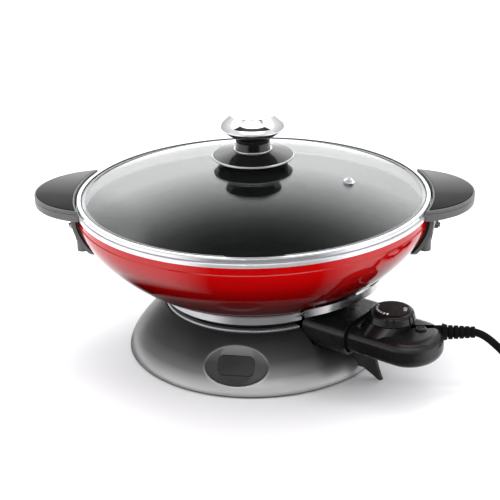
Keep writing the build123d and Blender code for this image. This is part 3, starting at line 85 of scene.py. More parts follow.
# ---------------------------------------------------------------- node helpers
class Graph:
    """A node tree, with short ways to add nodes and join them."""

    def __init__(self, tree):
        self.tree = tree
        self.tree.nodes.clear()

    def add(self, kind, **settings):
        node = self.tree.nodes.new(kind)
        for key, value in settings.items():
            setattr(node, key, value)
        return node

    def link(self, source, target):
        self.tree.links.new(source, target)

    def math(self, operation, first, second=None):
        node = self.add("ShaderNodeMath", operation=operation)
        for index, value in enumerate((first, second)):
            if isinstance(value, (int, float)):
                node.inputs[index].default_value = value
            elif value is not None:
                self.link(value, node.inputs[index])
        return node.outputs[0]

    def dot(self, source, direction):
        node = self.add("ShaderNodeVectorMath", operation="DOT_PRODUCT")
        self.link(source, node.inputs[0])
        node.inputs[1].default_value = direction
        return node.outputs["Value"]

    def spread(self, source, low, high, to_low=0.0, to_high=1.0):
        """The source, stretched from low..high to to_low..to_high and held there."""
        node = self.add("ShaderNodeMapRange")
        self.link(source, node.inputs["Value"])
        for key, value in zip(("From Min", "From Max", "To Min", "To Max"), (low, high, to_low, to_high)):
            node.inputs[key].default_value = value
        return node.outputs["Result"]

    def ramp(self, source, *stops):
        node = self.add("ShaderNodeValToRGB")
        band = node.color_ramp.elements
        while len(band) < len(stops):
            band.new(0.5)
        for element, (place, colour) in zip(band, stops):
            element.position = place
            element.color = (*colour, 1.0)
        self.link(source, node.inputs["Fac"])
        return node.outputs["Color"]

    def mix(self, share, first, second):
        node = self.add("ShaderNodeMix", data_type="RGBA")
        for socket, value in ((0, share), (6, first), (7, second)):
            if isinstance(value, tuple):
                node.inputs[socket].default_value = (*value, 1.0)
            else:
                self.link(value, node.inputs[socket])
        return node.outputs[2]


class Paint(Graph):
    """A material on one Principled shader, patterned in the object's own coordinates."""

    def __init__(self, name, **values):
        self.mat = bpy.data.materials.new(name)
        self.mat.use_nodes = True
        super().__init__(self.mat.node_tree)
        self.out = self.add("ShaderNodeOutputMaterial")
        self.shader = self.add("ShaderNodeBsdfPrincipled")
        self.link(self.shader.outputs["BSDF"], self.out.inputs["Surface"])
        self.place = self.add("ShaderNodeTexCoord").outputs["Object"]
        for key, value in values.items():
            self.shader.inputs[key.replace("_", " ")].default_value = value

    def into(self, socket, source):
        self.link(source, self.shader.inputs[socket])

    def scaled(self, scale):
        node = self.add("ShaderNodeMapping")
        node.inputs["Scale"].default_value = scale
        self.link(self.place, node.inputs["Vector"])
        return node.outputs["Vector"]

    def noise(self, scale, detail=3.0, rough=0.55, at=None):
        node = self.add("ShaderNodeTexNoise")
        node.inputs["Scale"].default_value = scale
        node.inputs["Detail"].default_value = detail
        node.inputs["Roughness"].default_value = rough
        self.link(at or self.place, node.inputs["Vector"])
        return node.outputs["Fac"]

    def drift(self, source, noise, size):
        """The source with a little noise added on both sides of it."""
        return self.math("ADD", source, self.math("MULTIPLY", self.math("SUBTRACT", noise, 0.5), size))

    def axis(self, name):
        node = self.add("ShaderNodeSeparateXYZ")
        self.link(self.place, node.inputs["Vector"])
        return node.outputs[name]

    def along(self, direction, origin=(0.0, 0.0, 0.0)):
        """How far a point lies from origin in one direction."""
        away = self.add("ShaderNodeVectorMath", operation="SUBTRACT")
        self.link(self.place, away.inputs[0])
        away.inputs[1].default_value = origin
        return self.dot(away.outputs[0], direction)

    def radius(self):
        """Distance from the vertical axis through the origin."""
        x = self.math("POWER", self.axis("X"), 2.0)
        y = self.math("POWER", self.axis("Y"), 2.0)
        return self.math("SQRT", self.math("ADD", x, y))

    def bump(self, source, strength, reach, under=None):
        node = self.add("ShaderNodeBump")
        node.inputs["Strength"].default_value = strength
        node.inputs["Distance"].default_value = reach
        self.link(source, node.inputs["Height"])
        if under:
            self.link(under, node.inputs["Normal"])
        self.into("Normal", node.outputs["Normal"])
        return node.outputs["Normal"]


def grey(level):
    return (level, level, level)


# ---------------------------------------------------------------- materials
RED_FROM_Z = 0.068       # the height of the enamel's darkest and of its lightest red
RED_TO_Z = 0.156
# Painted shade: the red is darkened from the rim down towards the foot, as if shaded under the bowl.
RED_SHADE_BY_HEIGHT = (
    (0.0, (0.010, 0.0003, 0.0004)), (0.25, (0.045, 0.0003, 0.0005)), (0.40, (0.058, 0.0003, 0.0005)),
    (0.50, (0.085, 0.0004, 0.0006)), (0.60, (0.15, 0.0005, 0.0007)), (0.68, (0.20, 0.0005, 0.0008)),
    (0.76, (0.29, 0.0006, 0.0009)), (0.88, (0.375, 0.0006, 0.0010)), (1.0, (0.46, 0.0008, 0.0012)),
)


def red_enamel():
    """Glossy red with painted shade in its colour, darkest towards the foot."""
    paint = Paint("red_enamel", Specular_IOR_Level=0.42)
    height = paint.drift(paint.spread(paint.axis("Z"), RED_FROM_Z, RED_TO_Z), paint.noise(9.0, 2.0), 0.05)
    paint.into("Base Color", paint.ramp(height, *RED_SHADE_BY_HEIGHT))
    flake = paint.noise(2600.0, 2.0, 0.6)
    paint.into("Roughness", paint.spread(flake, 0.3, 0.7, 0.05, 0.09))
    paint.bump(paint.noise(420.0, 3.0), 0.10, 0.00006)
    return paint.mat


def non_stick():
    """Dull black coating with fine grey specks."""
    paint = Paint("non_stick", Specular_IOR_Level=0.10)
    speck = paint.noise(1500.0, 2.0, 0.7)
    paint.into("Base Color", paint.ramp(speck, (0.42, grey(0.010)), (0.60, grey(0.017)), (0.72, grey(0.05))))
    paint.into("Roughness", paint.spread(paint.noise(60.0), 0.3, 0.7, 0.30, 0.42))
    paint.bump(speck, 0.25, 0.00008)
    return paint.mat


def bright_metal(name, colour, rough, turned=True, deep=0.12, metal=1.0):
    """Bare metal with fine lathe lines, or rolled sheet with lines along its length."""
    paint = Paint(name, Metallic=metal, Specular_IOR_Level=0.5)
    if turned:
        band = paint.add("ShaderNodeCombineXYZ")
        paint.link(paint.radius(), band.inputs["X"])
        paint.link(paint.axis("Z"), band.inputs["Z"])
        lines = paint.noise(2400.0, 2.0, at=band.outputs["Vector"])
    else:
        lines = paint.noise(900.0, 2.0, at=paint.scaled((1.0, 1.0, 9.0)))
    cloud = paint.noise(24.0, 3.0)
    tone = paint.mix(paint.spread(cloud, 0.35, 0.65), tuple(c * 0.93 for c in colour), colour)
    paint.into("Base Color", tone)
    paint.into("Roughness", paint.spread(lines, 0.3, 0.7, rough * 0.8, rough * 1.25))
    paint.bump(lines, deep, 0.00005)
    return paint.mat


def chrome():
    paint = Paint("chrome", Metallic=1.0)
    haze = paint.noise(70.0, 4.0)
    paint.into("Base Color", paint.mix(paint.spread(haze, 0.4, 0.6), (0.88, 0.88, 0.91), (0.93, 0.93, 0.95)))
    paint.into("Roughness", paint.spread(haze, 0.3, 0.7, 0.025, 0.06))
    return paint.mat


def moulding(name, dark, light, rough, grain=1800.0, deep=0.22, sheen=0.45, ior=1.5):
    """Moulded plastic or rubber with a fine spark-eroded grain and slightly uneven gloss."""
    paint = Paint(name, Specular_IOR_Level=sheen, IOR=ior)
    cloud = paint.noise(30.0, 4.0)
    paint.into("Base Color", paint.mix(paint.spread(cloud, 0.3, 0.7), grey(dark), grey(light)))
    paint.into("Roughness", paint.spread(cloud, 0.3, 0.7, rough * 0.9, rough * 1.12))
    paint.bump(paint.noise(grain, 3.0, 0.6), deep, 0.00006)
    return paint.mat


# The oval dish round the badge: its middle, its two directions on the pedestal's slope, and half its size along them.
BADGE_AT = Vector((-0.0146, -0.1156, 0.0275))
BADGE_ACROSS = (0.9921, -0.1253, 0.0)
BADGE_UP = (0.0813, 0.6439, 0.761)
BADGE_HALF = (0.0315, 0.0205)

SKIRT_TALL = 0.06
# Painted light on the pedestal by height: near black along the bottom lip as a painted shadow under its edge, a painted
# highlight just above it, then painted shade that grows darker towards the top under the bowl.
SKIRT_SHADE_BY_HEIGHT = (
    (0.0, grey(0.006)), (0.028, grey(0.006)), (0.036, grey(0.72)), (0.12, grey(0.54)),
    (0.30, grey(0.165)), (0.5, grey(0.056)), (0.75, grey(0.020)), (1.0, grey(0.016)),
)
# Painted shading inside the badge's dish: dark at its bottom, lighter towards its top.
DISH_SHADE_BY_RISE = ((0.0, grey(0.018)), (0.55, grey(0.05)), (1.0, grey(0.20)))


def gunmetal():
    """Metallic lacquer over the pedestal with fine flakes, and painted light in its colour: a painted shadow along its
    bottom lip, a painted highlight just above it and painted shade up to its top, painted shading in the oval dish
    round the badge and a painted highlight along the dish's lower lip.
    """
    paint = Paint("gunmetal", Metallic=0.86, Specular_IOR_Level=0.3)
    tone = paint.ramp(paint.spread(paint.axis("Z"), 0.0, SKIRT_TALL), *SKIRT_SHADE_BY_HEIGHT)
    across = paint.math("POWER", paint.math("DIVIDE", paint.along(BADGE_ACROSS, BADGE_AT), BADGE_HALF[0]), 2.0)
    rise = paint.math("DIVIDE", paint.along(BADGE_UP, BADGE_AT), BADGE_HALF[1])
    oval = paint.math("SQRT", paint.math("ADD", across, paint.math("POWER", rise, 2.0)))
    # Painted highlight along the lower lip of the badge's dish.
    lower_half = paint.spread(rise, -0.7, 0.0, 1.0, 0.0)
    lip = paint.math("MULTIPLY", lower_half, paint.spread(oval, 1.035, 1.075, 1.0, 0.0))
    tone = paint.mix(paint.math("MULTIPLY", lip, 0.5), tone, (0.80, 0.80, 0.84))
    # Painted shading fills the inside of the dish.
    dish = paint.ramp(paint.spread(rise, -1.0, 1.0), *DISH_SHADE_BY_RISE)
    tone = paint.mix(paint.spread(oval, 0.985, 1.01, 1.0, 0.0), tone, dish)
    flake = paint.noise(3200.0, 2.0, 0.7)
    paint.into("Base Color", paint.mix(paint.spread(flake, 0.45, 0.75, 0.0, 0.10), tone, (0.60, 0.60, 0.62)))
    paint.into("Roughness", paint.spread(paint.noise(45.0), 0.3, 0.7, 0.32, 0.38))
    edge = paint.bump(paint.spread(oval, 0.95, 1.04), 0.7, 0.0008)
    paint.bump(flake, 0.08, 0.00005, under=edge)
    return paint.mat


# Painted reflection on the handle caps: dark at the front edge, light at the back edge.
HANDLE_REFLECTION_BY_DEPTH = ((0.0, grey(0.012)), (0.35, grey(0.033)), (0.65, grey(0.096)), (1.0, grey(0.20)))
HANDLE_HALF_DEPTH = 0.055


def handle_top():
    """Satin cap of the handles, with a painted reflection in its colour that makes it lighter towards the back edge."""
    paint = Paint("handle_top", IOR=1.06)
    run = paint.spread(paint.axis("Y"), -HANDLE_HALF_DEPTH, HANDLE_HALF_DEPTH)
    paint.into("Base Color", paint.ramp(paint.drift(run, paint.noise(26.0), 0.06), *HANDLE_REFLECTION_BY_DEPTH))
    paint.into("Roughness", paint.spread(paint.noise(55.0), 0.3, 0.7, 0.34, 0.42))
    paint.bump(paint.noise(2100.0, 3.0, 0.6), 0.18, 0.00005)
    return paint.mat


def glass():
    paint = Paint("lid_glass", Base_Color=(0.86, 0.89, 0.89, 1.0), Transmission_Weight=1.0, IOR=1.5,
                  Specular_IOR_Level=0.5)
    paint.into("Roughness", paint.spread(paint.noise(14.0, 3.0), 0.35, 0.7, 0.0, 0.02))
    return paint.mat


def lamp_red():
    paint = Paint("lamp_red", Transmission_Weight=0.35, IOR=1.49, Roughness=0.12)
    core = paint.noise(900.0, 2.0)
    paint.into("Base Color", paint.ramp(core, (0.35, (0.035, 0.002, 0.002)), (0.65, (0.075, 0.004, 0.004))))
    return paint.mat


def mark_white():
    paint = Paint("mark_white", Roughness=0.45)
    paint.into("Base Color", paint.ramp(paint.noise(1600.0), (0.3, grey(0.90)), (0.6, grey(0.95))))
    return paint.mat


RED = red_enamel()
NON_STICK = non_stick()
GUNMETAL = gunmetal()
# Painted highlight: the pedestal's top bead is a lighter copy of the pedestal's lacquer, so that it shows a bright
# line.
LIT_BEAD = bright_metal("gunmetal_bead_lit", (0.50, 0.50, 0.52), 0.30, metal=0.7)
HANDLE_TOP = handle_top()
GLASS = glass()
CHROME = chrome()
RIM_METAL = bright_metal("rim_metal", (0.80, 0.80, 0.82), 0.16, metal=0.55)
BAND_METAL = bright_metal("band_metal", (0.68, 0.68, 0.71), 0.12, metal=0.7)
RING_METAL = bright_metal("ring_metal", (0.60, 0.60, 0.62), 0.22, metal=0.6)
SHEET_METAL = bright_metal("sheet_metal", (0.72, 0.72, 0.73), 0.20, turned=False)
CAST_METAL = bright_metal("cast_metal", (0.52, 0.52, 0.53), 0.42, deep=0.4)
DULL_STEEL = bright_metal("dull_steel", (0.32, 0.31, 0.30), 0.45, turned=False, deep=0.3)
ZINC = bright_metal("zinc_plate", (0.60, 0.60, 0.58), 0.30, turned=False)
NICKEL = bright_metal("nickel", (0.74, 0.72, 0.68), 0.18, turned=False)
BLACK_PLASTIC = moulding("black_plastic", 0.006, 0.010, 0.27, sheen=0.42)
DIAL_PLASTIC = moulding("dial_plastic", 0.005, 0.009, 0.22, deep=0.12, sheen=0.32)
GLOSS_BLACK = moulding("gloss_black", 0.006, 0.011, 0.10, deep=0.03, sheen=0.42)
HANDLE_BODY = moulding("handle_body", 0.10, 0.13, 0.34, sheen=0.2)
HUB_PLASTIC = moulding("hub_plastic", 0.020, 0.030, 0.40)
RUBBER = moulding("cord_rubber", 0.003, 0.006, 0.5, grain=900.0, deep=0.3, ior=1.12)
SEAL = moulding("seal_rubber", 0.010, 0.018, 0.55, grain=1200.0, deep=0.3, sheen=0.3)
FOOT_RUBBER = moulding("foot_rubber", 0.016, 0.026, 0.60, grain=700.0, deep=0.4, sheen=0.3)
PLATE = moulding("badge_plate", 0.018, 0.032, 0.14, deep=0.04, sheen=0.25)
# Painted shade: the black spacer ring is darker and duller than the other black plastics, standing for the shadow in
# the gap between bowl and pedestal.
SPACER_SHADE_BLACK = moulding("spacer_shade_black", 0.004, 0.007, 0.6, sheen=0.1)
TOE = moulding("toe_plastic", 0.020, 0.030, 0.24, sheen=0.5)
LAMP = lamp_red()
MARKS = mark_white()

FINISHES = (
    (RIM_METAL, "wok_rim"),
    (RING_METAL, "wok_foot_ring"),
    (SHEET_METAL, "heat_shield"),
    (BAND_METAL, "lid_band knob_guard_trim knob_neck_ring vent_grommet"),
    (CAST_METAL, "sensor_boss sensor_stem"),
    (DULL_STEEL, "heating_element terminal_bracket heat_reflector"),
    (ZINC, "base_screws centre_stud stud_washer stud_nut"),
    (ZINC, "handle_screws handle_studs handle_nuts knob_screw knob_washer"),
    (NICKEL, "contact_pins plug_blades"),
    (GUNMETAL, "base_skirt"),
    (LIT_BEAD, "base_top_ring"),
    (HUB_PLASTIC, "base_bottom_cover contact_block switch_block"),
    (SPACER_SHADE_BLACK, "spacer_ring"),
    (BLACK_PLASTIC, "thermostat_upper thermostat_lower probe_shroud"),
    (TOE, "support_toe"),
    (DIAL_PLASTIC, "dial_grip dial_face dial_spindle"),
    (GLOSS_BLACK, "knob_neck knob_guard_disc lamp_bezel"),
    (HANDLE_BODY, "handle_grip_right handle_grip_left handle_saddle_right handle_saddle_left"),
    (HANDLE_TOP, "handle_cap_right handle_cap_left"),
    (SEAL, "lid_seal handle_pad_right handle_pad_left"),
    (FOOT_RUBBER, "rubber_feet"),
    (RUBBER, "power_cord cord_coil strain_relief plug_body"),
    (PLATE, "base_badge_plate"),
    (GLASS, "lid_glass"),
    (CHROME, "knob_cap"),
    (LAMP, "lamp_lens"),
)


def dress(name, *materials):
    slots = NODES[name].data.materials
    slots.clear()
    for material in materials:
        slots.append(material)


for finish, names in FINISHES:
    for name in names.split():
        dress(name, finish)

# The bowl: enamel outside, black coating inside, bare casting underneath, bright metal above the inner ledge.
BOWL_MATERIALS = (RED, NON_STICK, CAST_METAL, RIM_METAL)
OUTSIDE, COATED, CAST, BRIGHT = range(4)
BOWL_FOOT_R = 0.095
BOWL_FOOT_Z = 0.0705
LEDGE_Z = 0.1478
INSIDE_R = 0.1745


def paint_bowl():
    dress("wok_bowl", *BOWL_MATERIALS)
    for face in NODES["wok_bowl"].data.polygons:
        middle, normal = face.center, face.normal
        reach = math.hypot(middle.x, middle.y)
        outwards = (normal.x * middle.x + normal.y * middle.y) / max(reach, 1e-6)
        inside = reach < INSIDE_R and (outwards <= -0.2 or normal.z > 0.05)
        if reach < BOWL_FOOT_R and normal.z < 0.3 and middle.z < BOWL_FOOT_Z:
            face.material_index = CAST
        elif inside and middle.z > LEDGE_Z:
            face.material_index = BRIGHT
        elif inside:
            face.material_index = COATED
        else:
            face.material_index = OUTSIDE


paint_bowl()


# ---------------------------------------------------------------- mesh helpers
def mesh_object(name, verts, faces, material, smooth=True):
    """A mesh whose points are given in millimetres."""
    mesh = bpy.data.meshes.new(name)
    mesh.from_pydata([tuple(Vector(v) * MM) for v in verts], [], faces)
    mesh.materials.append(material)
    for face in mesh.polygons:
        face.use_smooth = smooth
    return placed(name, mesh)


def circle(count):
    """Cosine and sine of evenly spaced angles round a full turn."""
    turns = [2 * math.pi * index / count for index in range(count)]
    return [(math.cos(turn), math.sin(turn)) for turn in turns]


# ---------------------------------------------------------------- lead
CORD_R = 3.8 * MM
CORD_ROUTE = (
    (214.8, -102.0, 57.0), (220.0, -102.2, 55.7), (229.5, -103.4, 49.6), (239.0, -104.8, 40.6), (248.5, -105.0, 31.0),
    (258.0, -103.8, 21.4), (269.0, -101.0, 11.9), (281.0, -96.4, 5.6), (293.0, -90.5, 3.9), (304.5, -84.3, 3.9),
)
COIL_TAIL = 34.0         # from the route's end to abreast of the coil's middle, straight on
COIL_MID_R = 42.0
COIL_LIFT = 0.1
COIL_TURNS = 3.25
COIL_START = -90.0       # degrees, as are the step and the three pairs
TURN_STEP = 22.5
GOES_IN = (140.0, 245.0)
GOES_UP = (410.0, 500.0)
GOES_OUT = (710.0, 815.0)
OUTER_R = 45.8           # middle of the outer strand and of the inner one beside it
INNER_R = 38.2
LOW_Z = 4.7              # middle of the lower strand and of the upper one on it, above COIL_LIFT
HIGH_Z = 12.3
COIL_ENTRY = ((-22.0, -43.6, 3.9), (-11.0, -45.2, 4.2))
COIL_EXIT = ((45.7, 9.0, 12.0), (45.2, 17.0, 10.2), (44.0, 25.0, 6.8), (42.6, 32.0, 4.6), (42.0, 39.0, 3.9))


def ease(value, start, end):
    """0 before start, 1 after end, smooth between."""
    share = min(max((value - start) / (end - start), 0.0), 1.0)
    return 0.5 - 0.5 * math.cos(math.pi * share)


def coil_frame():
    """Place of the coil's middle, with X along the route's last stretch."""
    before, end = CORD_ROUTE[-2], CORD_ROUTE[-1]
    heading = math.atan2(end[1] - before[1], end[0] - before[0])
    start = Matrix.Translation((end[0], end[1], COIL_LIFT)) @ Matrix.Rotation(heading, 4, "Z")
    return start @ Matrix.Translation((COIL_TAIL, COIL_MID_R, 0.0))


def coil_points():
    """The put-away turns, two beside and two on each other, and the tail that runs into the plug."""
    points = list(COIL_ENTRY)
    widen = 1.0 / math.cos(math.radians(TURN_STEP / 2)) ** 0.5
    for step in range(round(COIL_TURNS * 360.0 / TURN_STEP) + 1):
        angle = COIL_START + step * TURN_STEP
        inwards = ease(angle, *GOES_IN) - ease(angle, *GOES_OUT)
        radius = (OUTER_R + (INNER_R - OUTER_R) * inwards) * widen
        height = LOW_Z + (HIGH_Z - LOW_Z) * ease(angle, *GOES_UP)
        points.append((radius * math.cos(math.radians(angle)), radius * math.sin(math.radians(angle)), height))
    points += COIL_EXIT
    place = coil_frame()
    return [place @ Vector(point) for point in points]


def tube(name, points, radius, material):
    """A round curve whose control points are given in millimetres."""
    data = bpy.data.curves.new(name, "CURVE")
    data.dimensions = "3D"
    spline = data.splines.new("NURBS")
    spline.points.add(len(points) - 1)
    for target, point in zip(spline.points, points):
        target.co = (*(Vector(point) * MM), 1.0)
    spline.order_u = 3
    spline.use_endpoint_u = True
    spline.resolution_u = 8
    data.bevel_depth = radius
    data.bevel_resolution = 5
    data.use_fill_caps = True
    data.materials.append(material)
    return placed(name, data)


lead = tube("lead", [Vector(point) for point in CORD_ROUTE] + coil_points(), CORD_R, RUBBER)
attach(lead, "probe")
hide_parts("power_cord", "cord_coil")

TIE_HALF = 2.0           # half the strap's width
TIE_THICK = 0.7
TIE_SLACK = 0.1          # between strap and strands
TIE_EDGE = 0.2
TIE_SIDES = 48


def make_tie(name, angle):
    """A flat soft strap round the four strands of the coil."""
    middle_r = (OUTER_R + INNER_R) / 2
    middle_z = (LOW_Z + HIGH_Z) / 2
    half = (OUTER_R - INNER_R) / 2
    reach = CORD_R / MM + TIE_SLACK
    place = coil_frame() @ Matrix.Rotation(math.radians(angle), 4, "Z")
    verts = []
    for along in (-TIE_HALF, TIE_HALF):
        for out_x, out_z in circle(TIE_SIDES):
            x = middle_r + (half if out_x > 0 else -half)
            z = middle_z + (half if out_z > 0 else -half)
            for far in (reach, reach + TIE_THICK):
                verts.append(place @ Vector((x + out_x * far, along, z + out_z * far)))
    shift = 2 * TIE_SIDES
    faces = []
    for index in range(TIE_SIDES):
        near, far = 2 * index, 2 * ((index + 1) % TIE_SIDES)
        faces.append((near + 1, far + 1, far + 1 + shift, near + 1 + shift))
        faces.append((near, near + shift, far + shift, far))
        faces.append((near, far, far + 1, near + 1))
        faces.append((near + shift, near + 1 + shift, far + 1 + shift, far + shift))
    strap = mesh_object(name, verts, faces, SEAL)
    edge = strap.modifiers.new("edge", "BEVEL")
    edge.width = TIE_EDGE * MM
    edge.segments = 2
    edge.angle_limit = math.radians(50)
    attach(strap, "probe")
    return strap


ties = [make_tie("lead_tie_a", angle=62.0), make_tie("lead_tie_b", angle=200.0)]

# ---------------------------------------------------------------- knob cap: radius and height, from the crown down
CAP_PROFILE = (
    (0.0, 245.4), (5.0, 245.38), (10.0, 245.28), (15.0, 245.07), (19.0, 244.78), (21.2, 244.55), (21.7, 244.45),
    (22.0, 244.25), (22.5, 243.8), (24.6, 242.0), (27.2, 239.65), (29.5, 237.35), (31.2, 235.1), (32.3, 232.9),
    (32.7, 231.6), (32.6, 230.9), (32.1, 230.35), (31.0, 230.25), (12.0, 230.25), (0.0, 230.25),
)
CAP_SIDES = 96


def make_knob_cap():
    """Plated cap turned to one flowing line: flat crown, tight shoulder, full flank."""
    rings = CAP_PROFILE[1:-1]
    verts = [(0.0, 0.0, CAP_PROFILE[0][1])]
    verts += [(radius * x, radius * y, height) for radius, height in rings for x, y in circle(CAP_SIDES)]
    verts.append((0.0, 0.0, CAP_PROFILE[-1][1]))
    last = len(verts) - 1
    sides = [(index, (index + 1) % CAP_SIDES) for index in range(CAP_SIDES)]
    faces = [(0, 1 + index, 1 + after) for index, after in sides]
    for above in range(1, last - CAP_SIDES, CAP_SIDES):
        below = above + CAP_SIDES
        faces += [(above + index, below + index, below + after, above + after) for index, after in sides]
    faces += [(last, last - CAP_SIDES + after, last - CAP_SIDES + index) for index, after in sides]
    cap = mesh_object("knob_cap_plated", verts, faces, CHROME)
    skin = cap.modifiers.new("skin", "SUBSURF")
    skin.levels = skin.render_levels = 1
    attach(cap, "lid")
    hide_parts("knob_cap")


make_knob_cap()

# ---------------------------------------------------------------- marks on the dial
DIAL_AZ = math.radians(-36.0)
DIAL_REACH = 167.0       # from the pedestal's axis to the dial's
DIAL_MIDDLE = Vector((DIAL_REACH * math.cos(DIAL_AZ), DIAL_REACH * math.sin(DIAL_AZ), 0.0))
DIAL_FACE_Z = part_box("dial_face")[1].z / MM

DOT_COUNT = 8
DOT_RING_R = 14.2
DOT_FROM = 150.0         # degrees round the dial, and the arc that the dots cover
DOT_ARC = 100.0
DOT_LEAST = 0.5          # half the width of the coolest dot, and what the hottest has more
DOT_GROWTH = 0.45
DOT_LONG = 1.9           # how much longer than wide a dot is, outwards from the dial's middle
DOT_SIDES = 16
DOT_LIFT = 0.06          # how far above the dial's face the marks start, and how thick they are
DOT_THICK = 0.08
WORD_LIFT = 0.08
WORD_HALF_THICK = 0.04


def dial_dots():
    """Ring of oblong dots that grow towards the hottest setting."""
    verts = []
    for index in range(DOT_COUNT):
        share = index / (DOT_COUNT - 1)
        angle = math.radians(DOT_FROM + DOT_ARC * share)
        radius = DOT_LEAST + DOT_GROWTH * share
        out_x, out_y = math.cos(angle), math.sin(angle)
        for long, wide in circle(DOT_SIDES):
            reach, aside = DOT_RING_R + DOT_LONG * radius * long, radius * wide
            verts.append(DIAL_MIDDLE + Vector((reach * out_x - aside * out_y, reach * out_y + aside * out_x,
                                               DIAL_FACE_Z + DOT_LIFT)))
    faces = [tuple(range(start, start + DOT_SIDES)) for start in range(0, len(verts), DOT_SIDES)]
    dots = mesh_object("dial_dots", verts, faces, MARKS, smooth=False)
    skin = dots.modifiers.new("skin", "SOLIDIFY")
    skin.thickness = DOT_THICK * MM
    skin.offset = 1.0
    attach(dots, "dial")


def dial_word(name, text, angle, reach, size):
    """A word that reads outwards at one angle round the dial."""
    data = bpy.data.curves.new(name, "FONT")
    data.body = text
    data.size = size * MM
    data.align_x = "CENTER"
    data.align_y = "CENTER"
    data.extrude = WORD_HALF_THICK * MM
    data.materials.append(MARKS)
    word = placed(name, data)
    turn = math.radians(angle)
    centre = DIAL_MIDDLE + Vector((reach * math.cos(turn), reach * math.sin(turn), DIAL_FACE_Z + WORD_LIFT))
    word.matrix_world = Matrix.Translation(centre * MM) @ Matrix.Rotation(turn - math.radians(90), 4, "Z")
    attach(word, "dial")


dial_dots()
dial_word("dial_off", "OFF", angle=-12.0, reach=12.6, size=4.8)

# ---------------------------------------------------------------- floor
FLOOR_HALF = 30.0
# The dark flag on the floor.  It is whole up to the first number of each pair and gone from the second.
FLAG_TURN = 8.0                 # degrees from -Y towards +X, its middle line
FLAG_FAN = (28.0, 50.0)         # degrees to either side of that line, the fan in front of the cooker
FLAG_RING = (0.165, 0.20)       # metres from the pedestal's axis, the part close round it
FLAG_ROUND = (100.0, 130.0)     # degrees to either side, the same part
FLAG_THINS = (-0.05, 0.10)      # metres along X, where that part thins towards the right
FLAG_THIN = 0.2                 # what is left of it there


def make_floor():
    """Pale floor.  Mirrored surfaces see a dark flag lying on it in front of the cooker."""
    paint = Paint("floor", Roughness=0.6, Specular_IOR_Level=0.0)
    tone = paint.spread(paint.noise(3.0, 4.0), 0.3, 0.7)
    paint.into("Base Color", paint.mix(tone, (0.88, 0.88, 0.90), (0.92, 0.92, 0.935)))
    turn = math.radians(FLAG_TURN)
    beside = paint.math("ABSOLUTE", paint.along((math.cos(turn), math.sin(turn), 0.0)))
    swing = paint.math("ARCTAN2", beside, paint.along((math.sin(turn), -math.cos(turn), 0.0)))
    ahead = paint.spread(swing, math.radians(FLAG_FAN[0]), math.radians(FLAG_FAN[1]), 1.0, 0.0)
    close = paint.spread(paint.radius(), *FLAG_RING, 1.0, 0.0)
    round_front = paint.spread(swing, math.radians(FLAG_ROUND[0]), math.radians(FLAG_ROUND[1]), 1.0, 0.0)
    thinner = paint.spread(paint.axis("X"), *FLAG_THINS, 1.0, FLAG_THIN)
    close = paint.math("MULTIPLY", paint.math("MULTIPLY", close, round_front), thinner)
    flag = paint.math("MAXIMUM", ahead, close)
    mirrored = paint.add("ShaderNodeLightPath").outputs["Is Glossy Ray"]
    black = paint.add("ShaderNodeEmission")
    black.inputs["Strength"].default_value = 0.0
    cover = paint.add("ShaderNodeMixShader")
    paint.link(paint.math("MULTIPLY", flag, mirrored), cover.inputs[0])
    paint.link(paint.shader.outputs["BSDF"], cover.inputs[1])
    paint.link(black.outputs[0], cover.inputs[2])
    paint.link(cover.outputs[0], paint.out.inputs["Surface"])
    mesh = bpy.data.meshes.new("floor")
    corners = [(x * FLOOR_HALF, y * FLOOR_HALF, 0) for x, y in ((-1, -1), (1, -1), (1, 1), (-1, 1))]
    mesh.from_pydata(corners, [], [(0, 1, 2, 3)])
    mesh.materials.append(paint.mat)
    floor = placed("floor", mesh)


# ---------------------------------------------------------------- studio light
# How bright mirrored surfaces see the studio, by the sine of the elevation: behind the cooker, at its sides, on the
# camera's side of it, and in the middle of that side, where the large front box hangs.
BEHIND = ((0.0, 1.3), (0.2, 1.6), (0.36, 2.2), (0.48, 1.95), (0.60, 1.4), (0.695, 0.72), (0.766, 0.30), (0.82, 0.13),
          (0.866, 0.07), (1.0, 0.05))
BESIDE = ((0.0, 0.50), (0.4, 0.70), (0.60, 0.90), (0.68, 1.9), (0.82, 1.9), (0.92, 0.95), (1.0, 0.95))
BEFORE = ((0.0, 0.9), (0.975, 0.8), (0.99, 0.05), (1.0, 0.05))
FRONT_BOX = ((0.0, 0.9), (0.335, 0.9), (0.35, 0.03), (0.41, 0.03), (0.425, 1.0), (0.56, 1.6), (0.64, 2.8),
             (0.988, 2.8), (0.996, 0.05), (1.0, 0.05))
# The thin dark gap across the front box, by the cosine of the angle from an axis that leans back.
GAP = ((0.0, 1.0), (0.585, 1.0), (0.605, 0.03), (0.81, 0.03), (0.83, 1.0), (1.0, 1.0))
GAP_AXIS = (0.0, 0.259, 0.966)
# Where these meet, as |X| of the direction for the first two and as its Y for the third.
TO_BESIDE = (0.34, 0.48)
TO_FRONT_BOX = (0.66, 0.34)
TO_FRONT = (-0.02, -0.10)
# The plain light of the same studio for everything that isn't mirrored, from the camera's side to the back.
AROUND = ((0.0, 0.90), (0.35, 1.05), (0.55, 1.70), (1.0, 1.95))


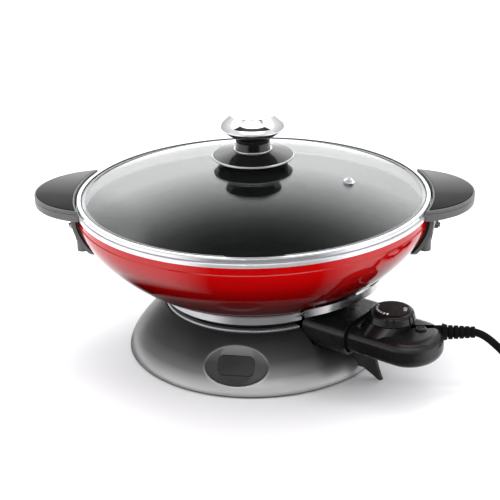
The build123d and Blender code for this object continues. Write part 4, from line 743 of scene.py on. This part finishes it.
def make_world():
    world = bpy.data.worlds.new("studio")
    bpy.context.scene.world = world
    world.use_nodes = True
    sky = Graph(world.node_tree)
    heading = sky.add("ShaderNodeTexCoord").outputs["Generated"]
    split = sky.add("ShaderNodeSeparateXYZ")
    sky.link(heading, split.inputs[0])
    sideways = sky.math("ABSOLUTE", split.outputs["X"])
    back = split.outputs["Y"]
    up = split.outputs["Z"]
    peak = max(level for _, level in FRONT_BOX)

    def band(stops, source, top=peak):
        return sky.ramp(source, *((where, grey(level / top)) for where, level in stops))

    front = sky.mix(sky.spread(sideways, *TO_FRONT_BOX), band(BEFORE, up), band(FRONT_BOX, up))
    cut = sky.add("ShaderNodeVectorMath", operation="MULTIPLY")
    sky.link(front, cut.inputs[0])
    sky.link(band(GAP, sky.dot(heading, GAP_AXIS), 1.0), cut.inputs[1])
    behind = sky.mix(sky.spread(sideways, *TO_BESIDE), band(BEHIND, up), band(BESIDE, up))
    mirrored = sky.mix(sky.spread(back, *TO_FRONT), behind, cut.outputs["Vector"])
    around = band(AROUND, sky.spread(back, -1.0, 1.0))
    glossy = sky.add("ShaderNodeLightPath").outputs["Is Glossy Ray"]
    light = sky.add("ShaderNodeBackground")
    sky.link(sky.mix(glossy, around, mirrored), light.inputs["Color"])
    light.inputs["Strength"].default_value = peak
    sky.link(light.outputs["Background"], sky.add("ShaderNodeOutputWorld").inputs["Surface"])


def softbox(name, place, aim, size, power):
    """An area light that glossy surfaces don't show and that isn't seen through the glass."""
    data = bpy.data.lights.new(name, "AREA")
    data.shape = "RECTANGLE"
    data.size, data.size_y = size
    data.energy = power
    lamp = placed(name, data)
    lamp.location = place
    lamp.rotation_euler = (Vector(aim) - Vector(place)).to_track_quat("-Z", "Y").to_euler()
    lamp.visible_glossy = lamp.visible_transmission = False


make_floor()
make_world()
softbox("top", place=(0.0, 0.7, 2.2), aim=(0.0, 0.0, 0.1), size=(1.9, 0.7), power=20.0)
softbox("left", place=(-2.2, -0.3, 1.3), aim=(0.0, 0.0, 0.12), size=(0.5, 1.6), power=13.0)
softbox("right", place=(2.2, -0.3, 1.3), aim=(0.0, 0.0, 0.12), size=(0.5, 1.6), power=13.0)

bpy.context.scene.view_settings.view_transform = "Standard"
